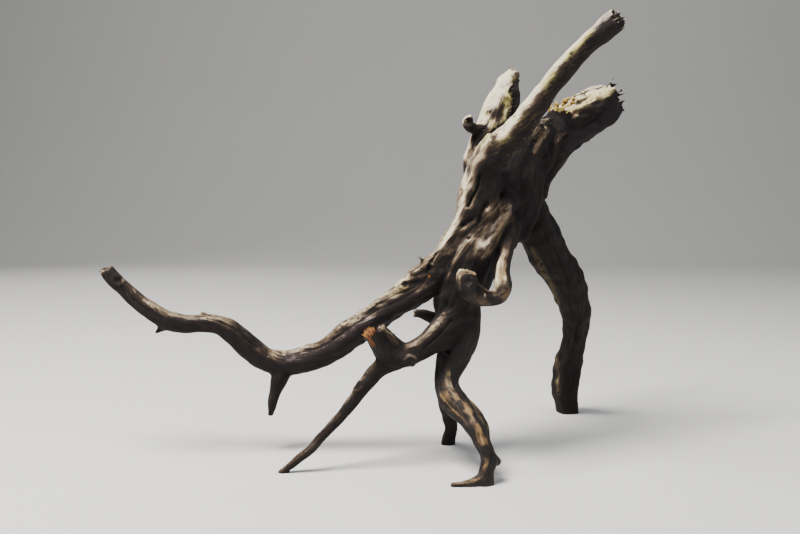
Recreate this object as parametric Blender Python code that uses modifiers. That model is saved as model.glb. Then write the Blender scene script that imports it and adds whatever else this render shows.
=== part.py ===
"""Black driftwood root, grown as one piece.

A heavy trunk leans up from a tangle of legs. A long thin root runs off to the left, a pale
spear and three broken stumps stand up at the crown, and the wood rests on four feet.
Metres, +Z up, origin on the floor under the middle of the root's box.
"""

import math
import random

import bmesh
import bpy
import numpy as np
from mathutils import Matrix, Vector

MM = 0.001
TOWARDS_BACK = (0, 1, 0.1)
OBJECT_NAME = "black_driftwood_root"
NODE = "driftwood_root"

# Where the survey point of the stations below (under the trunk) lies from the origin, in mm.
SURVEY_POINT = (19.9, -20.5, 0.0)

# Grain of the build, in mm.
STATION_STEP = 4.0
TUBE_RESOLUTION = 6
FUSE_VOXEL = 2.0
WELD_DISTANCE = 0.00001
SMOOTH_PASSES = 3
TRIANGLE_GOAL = 7400

# Splinters: a flattened cone's sides, its tip's share of its root, its thickness over width.
SPLINTER_SIDES = 5
SPLINTER_TIP_SHARE = 0.18
SPLINTER_FLATNESS = 0.6

# Shards round a torn end: their width over their spacing, where the ring and the inner ones
# stand (shares of the end's radius), how they vary, and how deep they are rooted.
SHARD_WIDTH = 1.15
RING_SHARE = 0.72
INNER_SHARE = 0.3
INNER_LENGTH = 0.6
SHORTEST_SHARD = 0.25
SHARD_JITTER = 0.25
SHARD_SPLAY = (-0.25, 0.1)
SHARD_ROOT_SHARE = 0.5
SHARD_ROOT_DEPTH = 1.5
SEED = 7

# Hollows: an egg-shaped cutter's rings and segments.
PIT_SEGMENTS = 10
PIT_RINGS = 6

# The slab under the floor that cuts the feet flat, in mm.
GROUND_SIZE = 600.0
GROUND_DEPTH = 40.0

WOOD_COLOUR = (0.115, 0.075, 0.05, 1.0)
WOOD_ROUGHNESS = 0.8

# Sinews: a limb is a core with ropes of wood wound slowly round it.
CORE_SHARE = 0.84
SINEW_SHARE = 0.56
SINEW_REACH = 1.05
SINEW_TURN_PER_MM = 0.006

# Limbs. Each station is x, y, z and radius in mm from the survey point: the front is -Y.
# name: (number of sinews, first sinew's angle in degrees, stations)
LIMBS = {
    "tail": (4, 20, (
        (70, -20, 229, 9), (61, -16, 212, 12), (57, -14, 190, 13.5), (51, -14, 168, 15),
        (42, -14, 155, 14.5), (32, -13, 142, 13.5), (20, -12, 131, 13), (9, -10, 121, 12),
        (-4, -8, 112, 11), (-18, -6, 102, 10), (-35, -4, 89, 10), (-52, -2, 77, 9.6),
        (-68, -1, 70, 9.2), (-83, 0, 66, 8.9), (-98, 0, 69, 8.5), (-111, -1, 78, 8.5),
        (-121, -3, 88, 8.1), (-133, -5, 96, 7.2), (-146, -7, 97, 6.9), (-159, -8, 97, 6.9),
        (-170, -8, 100, 7.3), (-181, -7, 106, 6.6), (-191, -6, 113, 5.8),
        (-201, -5, 122, 5.9), (-209, -4, 129, 6.2), (-214, -4, 136, 5.4))),
    "spear": (0, 0, (
        (55, -14, 200, 9), (69, -19, 221, 10.8), (80, -22, 233, 9.9), (87, -25, 242, 8.7),
        (94, -29, 252, 8), (101, -34, 263, 7.4), (112, -41, 277, 7.1), (123, -49, 289, 6.9),
        (131, -54, 296, 7.2), (137, -58, 301, 7.8), (141, -61, 304, 7.1))),
    "left_stump": (3, 0, (
        (73, 20, 194, 12), (64, 14, 210, 16), (66, 17, 228, 14), (70, 20, 238, 13.4),
        (73, 22, 246, 13.2), (76, 25, 256, 12.6), (79, 28, 265, 11.4), (81, 30, 273, 9.2),
        (84, 32, 280, 6), (86, 33, 284, 3.8))),
    "right_stump": (4, 30, (
        (86, 24, 164, 11), (96, 34, 186, 15.5), (105, 42, 208, 16), (118, 48, 227, 16.8),
        (132, 54, 242, 17.3), (147, 60, 253, 17.4), (160, 64, 262, 16.3), (169, 67, 268, 13))),
    "middle_stump": (3, 10, (
        (99, 30, 203, 12), (110, 35, 225, 10), (118, 39, 242, 9), (122, 41, 256, 8.7))),
    "neck": (3, 40, (
        (82, 12, 158, 12), (88, 19, 181, 17), (88, 18, 202, 19), (92, 21, 218, 17), (101, 28, 231, 13),
        (112, 35, 243, 8))),
    "back": (3, 15, (
        (66, 14, 222, 12), (61, 8, 205, 14.5), (58, 3, 188, 16), (56, 0, 168, 16),
        (46, -4, 148, 14), (34, -6, 134, 11))),
    "right_leg": (4, 45, (
        (80, 24, 224, 9), (84, 30, 206, 14.5), (92, 32, 190, 15.5), (100, 36, 175, 15.8),
        (108, 42, 161, 16.2), (117, 50, 146, 15.8), (130, 60, 129, 14), (140, 70, 112, 13.5),
        (146, 80, 95, 11.7), (149, 90, 76, 10.6), (147, 98, 58, 10.3), (145, 106, 39, 11.3),
        (144, 110, 20, 10.7), (147, 112, 7, 9.7), (148, 112, -4, 9.2))),
    "heart": (4, 0, (
        (74, 15, 209, 15), (75, 16, 190, 17), (75, 14, 175, 18.5), (68, 10, 161, 18.5),
        (58, 4, 143, 17.5), (46, -2, 125, 17.5), (41, -8, 111, 16), (44, -12, 97, 13))),
    "breast": (3, 25, (
        (88, 8, 190, 5), (78, -1, 184, 8), (70, -9, 178, 10.5), (64, -14, 170, 12.3),
        (58, -18, 160, 13.3), (52, -20, 148, 13.6), (47, -20, 135, 13.7), (42, -18, 120, 13.2),
        (40, -16, 107, 11.5))),
    "front_leg": (4, 70, (
        (45, -6, 114, 13), (46, -12, 97, 12.3), (41, -16, 81, 11.5), (36, -20, 69, 10.4),
        (33, -26, 59, 9.2), (35, -34, 50, 8.8), (41, -43, 44, 8.5), (48, -52, 39, 8.1),
        (53, -60, 33, 7.1), (55, -66, 26, 5.9), (58, -70, 20, 5.4), (59, -72, 14, 5.6),
        (57, -73, 9, 5), (56, -74, -3, 5.6))),
    "toe": (0, 0, (
        (58, -73, 11, 4.4), (54, -75, 5, 3.9), (47, -77, 2, 3), (40, -78, 1, 2.3),
        (33, -78, 1, 1.7))),
    "heel": (0, 0, (
        (60, -71, 18, 4.6), (63, -69, 15, 3.8), (66, -67, 12, 2.8))),
    "rear_leg": (3, 0, (
        (36, -20, 52, 8), (35, -8, 39, 7.3), (37, 4, 26, 6), (39, 12, 14, 5.2),
        (38, 16, 6, 5.6), (37, 18, -2, 6.5))),
    "thin_leg": (3, 0, (
        (45, -14, 106, 13.5), (36, -20, 98, 12), (26, -26, 90, 10), (15, -30, 83, 8.5),
        (4, -32, 78, 8.4), (-6, -34, 75, 8.5), (-16, -36, 68, 6.3), (-24, -38, 59, 5.3),
        (-31, -40, 50, 4.5), (-38, -42, 41, 4.1), (-46, -44, 32, 3.8), (-55, -46, 23, 3.6),
        (-61, -48, 16, 3.5), (-70, -49, 9, 3.3), (-76, -50, 4, 3), (-83, -51, -1, 2.6))),
    "broken_twig": (0, 0, (
        (-6, -34, 75, 7.7), (-13, -38, 83, 6.3), (-18, -41, 91, 5.2), (-22, -43, 97, 4.5))),
    "pale_twig": (0, 0, (
        (1, -32, 80, 6.3), (-4, -34, 87, 4.9), (-10, -36, 94, 4.2), (-14, -37, 99, 3.6))),
    "cut_twig": (0, 0, (
        (17, -30, 82, 6.3), (10, -35, 77, 4.9), (6, -38, 73, 4.2))),
    "thorn": (0, 0, (
        (-86, 0, 64, 8.2), (-89, -2, 55, 6.5), (-92, -3, 47, 4.9), (-94, -4, 39, 3.9),
        (-95, -4, 33, 2.9), (-96, -4, 28, 1.6))),
    "hook": (3, 0, (
        (79, -2, 171, 9.5), (76, -16, 158, 7), (74, -26, 148, 5), (71, -34, 139, 5.4),
        (70, -41, 128, 6.6), (67, -44, 122, 6.5), (60, -47, 120, 6.2), (52, -51, 122, 7),
        (46, -54, 129, 7.3), (45, -55, 135, 7), (46, -56, 139, 5.6))),
    "back_twig": (0, 0, (
        (35, 0, 97, 5.9), (27, 6, 98, 4.8), (18, 10, 101, 4.1), (11, 12, 102, 3.4))),
    "curl": (0, 0, (
        (64, 16, 238, 5), (58, 11, 239, 4.4), (53, 8, 239, 3.8), (49, 6, 241, 3.4),
        (49, 6, 245, 3), (53, 7, 247, 2.6))),
}

# Broken ends, torn into a ring of shards round a few shorter ones.
# limb: (number of shards in the ring, how far they stand out in mm)
TORN_ENDS = {
    "spear": (6, 4.0),
    "left_stump": (4, 5.0),
    "right_stump": (7, 10.0),
    "middle_stump": (6, 9.0),
    "neck": (4, 6.0),
    "broken_twig": (5, 4.5),
    "pale_twig": (3, 2.5),
    "back_twig": (3, 3.0),
    "tail": (4, 2.5),
}

# Single splinters, spurs and knobs: root point, tip, radius at the root, in mm.
SPURS = (
    ((108, 22, 217), (105, 16, 244), 5.5),
    ((108, 22, 214), (110, 15, 232), 4.0),
    ((139, 48, 247), (115, 30, 233), 4.0),
    ((139, -60, 304), (140, -61, 314), 1.5),
    ((143, -61, 302), (146, -62, 309), 1.5),
    ((-214, -4, 136), (-220, -3, 137), 2.0),
    ((-172, -8, 98), (-178, -10, 90), 2.8),
    ((78, 31, 270), (92, 30, 277), 3.4),
    ((80, 31, 272), (83, 31, 287), 2.6),
    ((151, 62, 262), (146, 60, 277), 2.2),
    ((158, 63, 268), (170, 63, 283), 5.0),
    ((160, 65, 268), (180, 65, 271), 4.6),
    ((160, 66, 260), (180, 68, 258), 4.6),
    ((154, 60, 254), (168, 54, 264), 4.2),
    ((-26, -40, 57), (-33, -43, 58), 3.0),
    ((18, -14, 140), (13, -20, 148), 4.4),
)

# Hollows: two end points of the cutter and its radius, in mm.
PITS = {
    "tail_eye": ((-205, -11.5, 130.5), (-203, -11.5, 129.5), 2.6),
    "trunk_slit": ((44, -33, 171), (50, -33, 175), 1.7),
    "crown_pocket": ((58, 2, 232), (62, 4, 228), 4.4),
    "stump_eye": ((69, 6, 235), (72, 8, 238), 2.4),
    "stump_scar": ((86, 12, 246), (89, 16, 268), 6.0),
    "stump_trough": ((138, 31, 240), (159, 40, 252), 9.0),
    "stump_break": ((131, 41, 266), (143, 46, 275), 12.0),
    "fork_hollow": ((119, 24, 240), (124, 28, 234), 5.0),
    "crack_top": ((55, -30, 206), (52, -30, 194), 1.8),
    "crack_foot": ((54, -30, 190), (58, -29, 181), 2.4),
    "trunk_knot": ((4, -22, 129), (6, -22, 127), 2.4),
    "tail_knot": ((-39, -15, 98), (-37, -15, 97), 2.4),
    "leg_nook": ((32, -31, 81), (34, -31, 79), 2.2),
}


def smooth_route(stations):
    """Points about STATION_STEP apart on a Catmull-Rom curve through the stations, in mm."""
    ends = np.asarray(stations, dtype=float)
    padded = np.vstack([2 * ends[0] - ends[1], ends, 2 * ends[-1] - ends[-2]])
    pieces = []
    for before, start, stop, after in zip(padded, padded[1:], padded[2:], padded[3:]):
        count = max(2, round(np.linalg.norm((stop - start)[:3]) / STATION_STEP))
        t = np.linspace(0, 1, count, endpoint=False)[:, None]
        pieces.append(0.5 * (2 * start + (stop - before) * t
                             + (2 * before - 5 * start + 4 * stop - after) * t ** 2
                             + (3 * start - before - 3 * stop + after) * t ** 3))
    return np.vstack(pieces + [ends[-1:]])


def carried_frame(points):
    """Two unit vectors square to the route at each point, carried along without twist."""
    along = np.gradient(points, axis=0)
    along /= np.linalg.norm(along, axis=1)[:, None]
    side = np.cross(along[0], (0, 1, 0))
    sides = []
    for direction in along:
        side = side - direction * np.dot(side, direction)
        side /= np.linalg.norm(side)
        sides.append(side)
    sides = np.array(sides)
    return sides, np.cross(along, sides)


def tube(points, radii):
    """A round closed mesh along points (mm) whose radius changes from point to point."""
    curve = bpy.data.curves.new("tube", "CURVE")
    curve.dimensions = "3D"
    curve.bevel_depth = MM
    curve.bevel_resolution = TUBE_RESOLUTION
    curve.use_fill_caps = True
    spline = curve.splines.new("POLY")
    spline.points.add(len(points) - 1)
    places = (points + SURVEY_POINT) * MM
    spline.points.foreach_set("co", np.c_[places, np.ones(len(places))].ravel())
    spline.points.foreach_set("radius", radii)
    carrier = bpy.data.objects.new("tube", curve)
    bpy.context.collection.objects.link(carrier)
    mesh = bpy.data.meshes.new_from_object(carrier.evaluated_get(bpy.context.evaluated_depsgraph_get()))
    bpy.data.objects.remove(carrier)
    return mesh


def limb_tubes(count, first_angle, stations):
    """The core of a limb and the sinews wound round it."""
    route = smooth_route(stations)
    points, radii = route[:, :3], route[:, 3]
    if count == 0:
        return [tube(points, radii)]
    side, up = carried_frame(points)
    run = np.r_[0, np.cumsum(np.linalg.norm(np.diff(points, axis=0), axis=1))]
    tubes = [tube(points, radii * CORE_SHARE)]
    for index in range(count):
        angle = math.radians(first_angle) + math.tau * index / count + run * SINEW_TURN_PER_MM
        reach = radii * (SINEW_REACH - SINEW_SHARE)
        offset = (np.cos(angle) * reach)[:, None] * side + (np.sin(angle) * reach)[:, None] * up
        tubes.append(tube(points + offset, radii * SINEW_SHARE))
    return tubes


def largest_shell(mesh):
    """Keep the wood's outer skin only: no sealed hollow inside it and no loose scrap."""
    skin = bmesh.new()
    skin.from_mesh(mesh)
    unseen = set(skin.verts)
    shells = []
    while unseen:
        front = [unseen.pop()]
        shell = set(front)
        while front:
            near = {edge.other_vert(vert) for vert in front for edge in vert.link_edges} & unseen
            unseen -= near
            shell |= near
            front = list(near)
        shells.append(shell)
    keep = max(shells, key=len)
    bmesh.ops.delete(skin, geom=[vert for vert in skin.verts if vert not in keep], context="VERTS")
    skin.to_mesh(mesh)
    skin.free()


def apply_modifiers(obj):
    """Replace the object's mesh by the one that its modifiers make."""
    graph = bpy.context.evaluated_depsgraph_get()
    mesh = bpy.data.meshes.new_from_object(obj.evaluated_get(graph))
    before = obj.data
    obj.modifiers.clear()
    obj.data = mesh
    bpy.data.meshes.remove(before)


def fused_wood(collection):
    """The limbs as one closed skin, smoothed and then thinned to the triangle goal."""
    joined = bmesh.new()
    for sinews, first_angle, stations in LIMBS.values():
        for mesh in limb_tubes(sinews, first_angle, stations):
            joined.from_mesh(mesh)
            bpy.data.meshes.remove(mesh)
    bmesh.ops.remove_doubles(joined, verts=joined.verts, dist=WELD_DISTANCE)
    mesh = bpy.data.meshes.new(NODE)
    joined.to_mesh(mesh)
    joined.free()
    wood = bpy.data.objects.new(NODE, mesh)
    collection.objects.link(wood)
    remesh = wood.modifiers.new("fuse", "REMESH")
    remesh.mode = "VOXEL"
    remesh.voxel_size = FUSE_VOXEL * MM
    remesh.adaptivity = 0
    smooth = wood.modifiers.new("smooth", "SMOOTH")
    smooth.factor = 0.5
    smooth.iterations = SMOOTH_PASSES
    apply_modifiers(wood)
    largest_shell(wood.data)
    thin = wood.modifiers.new("thin", "DECIMATE")
    thin.ratio = TRIANGLE_GOAL / (2 * len(wood.data.polygons))
    apply_modifiers(wood)
    return wood


def placement(middle, axis, thin):
    """A placement at middle (mm) whose Z axis runs along axis and whose Y axis leans to thin."""
    z = Vector(axis).normalized()
    x = Vector(thin).cross(z).normalized()
    turn = Matrix((x, z.cross(x), z)).transposed().to_4x4()
    return Matrix.Translation((Vector(middle) + Vector(SURVEY_POINT)) * MM) @ turn


def splinter(root, tip, radius, collection, thin=TOWARDS_BACK):
    """A slender cone from root to tip, blunt at the tip and flattened in the thin direction."""
    axis = np.subtract(tip, root)
    cone = bmesh.new()
    bmesh.ops.create_cone(cone, cap_ends=True, segments=SPLINTER_SIDES, radius1=radius * MM,
                          radius2=radius * SPLINTER_TIP_SHARE * MM, depth=np.linalg.norm(axis) * MM)
    bmesh.ops.scale(cone, vec=(1, SPLINTER_FLATNESS, 1), verts=cone.verts)
    bmesh.ops.triangulate(cone, faces=cone.faces)
    mesh = bpy.data.meshes.new("splinter")
    cone.to_mesh(mesh)
    cone.free()
    obj = bpy.data.objects.new("splinter", mesh)
    obj.matrix_world = placement(np.add(root, tip) / 2, axis, thin)
    collection.objects.link(obj)


def torn_end(limb, count, length, collection):
    """A ring of shards round a limb's broken end, as wide as the ring needs, and a few inside it."""
    draw = random.Random(SEED + len(limb) * count)
    route = smooth_route(LIMBS[limb][2])
    side, up = carried_frame(route[:, :3])
    end, end_radius = route[-1, :3], route[-1, 3]
    along = route[-1, :3] - route[-3, :3]
    along /= np.linalg.norm(along)
    width = SHARD_WIDTH * math.pi * end_radius / count
    depth = SHARD_ROOT_SHARE * end_radius + SHARD_ROOT_DEPTH
    inner = count // 2
    for index in range(count + inner):
        in_ring = index < count
        reach = end_radius * (RING_SHARE if in_ring else INNER_SHARE)
        turn = math.tau * index / (count if in_ring else inner)
        angle = turn + draw.uniform(-SHARD_JITTER, SHARD_JITTER)
        outward = math.cos(angle) * side[-1] + math.sin(angle) * up[-1]
        foot = end + outward * reach
        stand = length * draw.uniform(SHORTEST_SHARD, 1.0) * (1.0 if in_ring else INNER_LENGTH)
        tip = foot + (along + outward * draw.uniform(*SHARD_SPLAY)) * stand
        splinter(foot - along * depth, tip, width, collection, outward)


def add_splinters(wood):
    """Join every splinter and spur to the wood."""
    splinters = bpy.data.collections.new("splinters")
    bpy.context.scene.collection.children.link(splinters)
    for limb, (count, length) in TORN_ENDS.items():
        torn_end(limb, count, length, splinters)
    for root, tip, radius in SPURS:
        splinter(root, tip, radius, splinters)
    union = wood.modifiers.new("splinters", "BOOLEAN")
    union.operation = "UNION"
    union.operand_type = "COLLECTION"
    union.collection = splinters
    union.solver = "EXACT"
    apply_modifiers(wood)
    for obj in list(splinters.objects):
        bpy.data.objects.remove(obj)
    bpy.data.collections.remove(splinters)


def pit_cutter(name, start, stop, radius, cutters):
    """An egg-shaped cutter that reaches radius past both end points."""
    half = np.linalg.norm(np.subtract(stop, start)) / 2 + radius
    egg = bmesh.new()
    bmesh.ops.create_uvsphere(egg, u_segments=PIT_SEGMENTS, v_segments=PIT_RINGS, radius=1)
    bmesh.ops.scale(egg, vec=Vector((radius, radius, half)) * MM, verts=egg.verts)
    mesh = bpy.data.meshes.new(name)
    egg.to_mesh(mesh)
    egg.free()
    cutter = bpy.data.objects.new(name, mesh)
    cutter.matrix_world = placement(np.add(start, stop) / 2, np.subtract(stop, start), TOWARDS_BACK)
    cutters.objects.link(cutter)


def ground_cutter(cutters):
    """The slab below the floor, which leaves the feet flat at z = 0."""
    slab = bmesh.new()
    bmesh.ops.create_cube(slab, size=1)
    bmesh.ops.scale(slab, vec=Vector((GROUND_SIZE, GROUND_SIZE, GROUND_DEPTH)) * MM, verts=slab.verts)
    mesh = bpy.data.meshes.new("ground")
    slab.to_mesh(mesh)
    slab.free()
    ground = bpy.data.objects.new("ground", mesh)
    ground.location.z = -GROUND_DEPTH / 2 * MM
    cutters.objects.link(ground)


def cut(wood, cutters):
    """Take the pits and the ground away from the wood."""
    for cutter in cutters.objects:
        cutter.hide_render = True
        cutter.display_type = "WIRE"
    carve = wood.modifiers.new("hollows and flat feet", "BOOLEAN")
    carve.operation = "DIFFERENCE"
    carve.operand_type = "COLLECTION"
    carve.collection = cutters
    carve.solver = "EXACT"


def wood_material():
    """Dark water-worn wood."""
    material = bpy.data.materials.new("dark_driftwood")
    material.use_nodes = True
    shader = material.node_tree.nodes["Principled BSDF"]
    shader.inputs["Base Color"].default_value = WOOD_COLOUR
    shader.inputs["Roughness"].default_value = WOOD_ROUGHNESS
    shader.inputs["Metallic"].default_value = 0.0
    return material


def main():
    """Build the root in its own collection and its cutters in another."""
    for obj in list(bpy.data.objects):
        bpy.data.objects.remove(obj)
    collection = bpy.data.collections.new(OBJECT_NAME)
    cutters = bpy.data.collections.new("cutters")
    for group in (collection, cutters):
        bpy.context.scene.collection.children.link(group)
    wood = fused_wood(collection)
    add_splinters(wood)
    for name, (start, stop, radius) in PITS.items():
        pit_cutter(name, start, stop, radius, cutters)
    ground_cutter(cutters)
    cut(wood, cutters)
    wood.data.materials.clear()
    wood.data.materials.append(wood_material())


main()
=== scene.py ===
"""Looks of the black driftwood root: its grain, torn ends, fibres and finish, and the studio.

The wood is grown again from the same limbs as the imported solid, at a finer grain. Each limb is a
section carried along a path. The limbs are fused to one skin, and the skin is then furrowed along
the run of the grain. Lengths are in millimetres until a mesh is made, which is in metres.
"""

import logging
import math
import random
from dataclasses import dataclass, field
from enum import Enum
from typing import Iterable, Sequence

import bpy
import numpy as np
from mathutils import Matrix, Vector


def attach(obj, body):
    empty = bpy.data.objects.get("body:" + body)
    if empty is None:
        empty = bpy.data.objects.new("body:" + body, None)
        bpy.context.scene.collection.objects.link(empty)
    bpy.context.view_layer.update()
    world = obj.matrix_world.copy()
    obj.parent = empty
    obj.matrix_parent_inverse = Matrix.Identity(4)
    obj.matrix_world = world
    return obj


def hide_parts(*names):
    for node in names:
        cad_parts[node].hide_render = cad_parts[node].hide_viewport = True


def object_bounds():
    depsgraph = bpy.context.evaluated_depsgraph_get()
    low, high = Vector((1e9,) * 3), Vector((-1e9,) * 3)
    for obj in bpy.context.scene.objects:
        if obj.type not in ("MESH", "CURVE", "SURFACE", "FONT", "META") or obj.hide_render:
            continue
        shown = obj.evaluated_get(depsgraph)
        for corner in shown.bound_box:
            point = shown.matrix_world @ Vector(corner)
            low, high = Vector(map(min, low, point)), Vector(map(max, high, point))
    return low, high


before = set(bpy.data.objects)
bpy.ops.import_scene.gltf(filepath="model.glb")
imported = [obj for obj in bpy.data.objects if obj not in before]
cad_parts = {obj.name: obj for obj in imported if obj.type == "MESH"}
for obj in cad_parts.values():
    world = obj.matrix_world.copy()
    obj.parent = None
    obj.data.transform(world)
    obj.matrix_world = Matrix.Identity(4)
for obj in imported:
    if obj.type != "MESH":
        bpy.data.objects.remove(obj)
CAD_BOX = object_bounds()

Triple = tuple[float, float, float]
Pixel = tuple[float, float]
Setting = float | int | bool | str | Sequence[float]

log = logging.getLogger("driftwood")

MM = 0.001
BODY = "root"
CAD_NODE = "driftwood_root"
FULL_TURN = math.tau
GOLDEN_ANGLE = math.pi * (3 - math.sqrt(5))

# Where the survey point of the limbs' stations lies from the origin, in mm.
SURVEY_POINT = np.array((19.9, -20.5, 0.0))

# How a limb is built: a core with sinews wound round it, as shares of the limb's radius.
CORE_SHARE = 0.91
SINEW_SHARE = 0.56
SINEW_REACH = 1.05
SINEW_TURN_PER_MM = 0.006

# The skin: distance between stations and voxels in mm, and the triangles that it is thinned to.
ROUTE_STEP = 1.5
FUSE_VOXEL = 0.85
AROUND = 56
SKIN_TRIANGLES = 188000
BOX_MARGIN = 0.05


class Weathering(Enum):
    """How time has left a limb: paleness, warmth and roughness, each from 0 to 1."""

    BLEACHED = (0.98, 0.12, 0.35)
    SILVERED = (0.86, 0.1, 0.75)
    TORN = (0.68, 0.5, 1.0)
    WORN = (0.45, 0.25, 0.6)
    SHADED = (0.28, 0.3, 0.85)
    SMOOTH = (0.16, 0.25, 0.55)
    RUSTY = (0.15, 1.0, 0.85)


@dataclass(frozen=True)
class Limb:
    """One limb: its sinews, their first angle in degrees, and stations of x, y, z and radius."""

    name: str
    sinews: int
    first_angle: float
    age: Weathering
    stations: tuple[tuple[float, float, float, float], ...]


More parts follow.
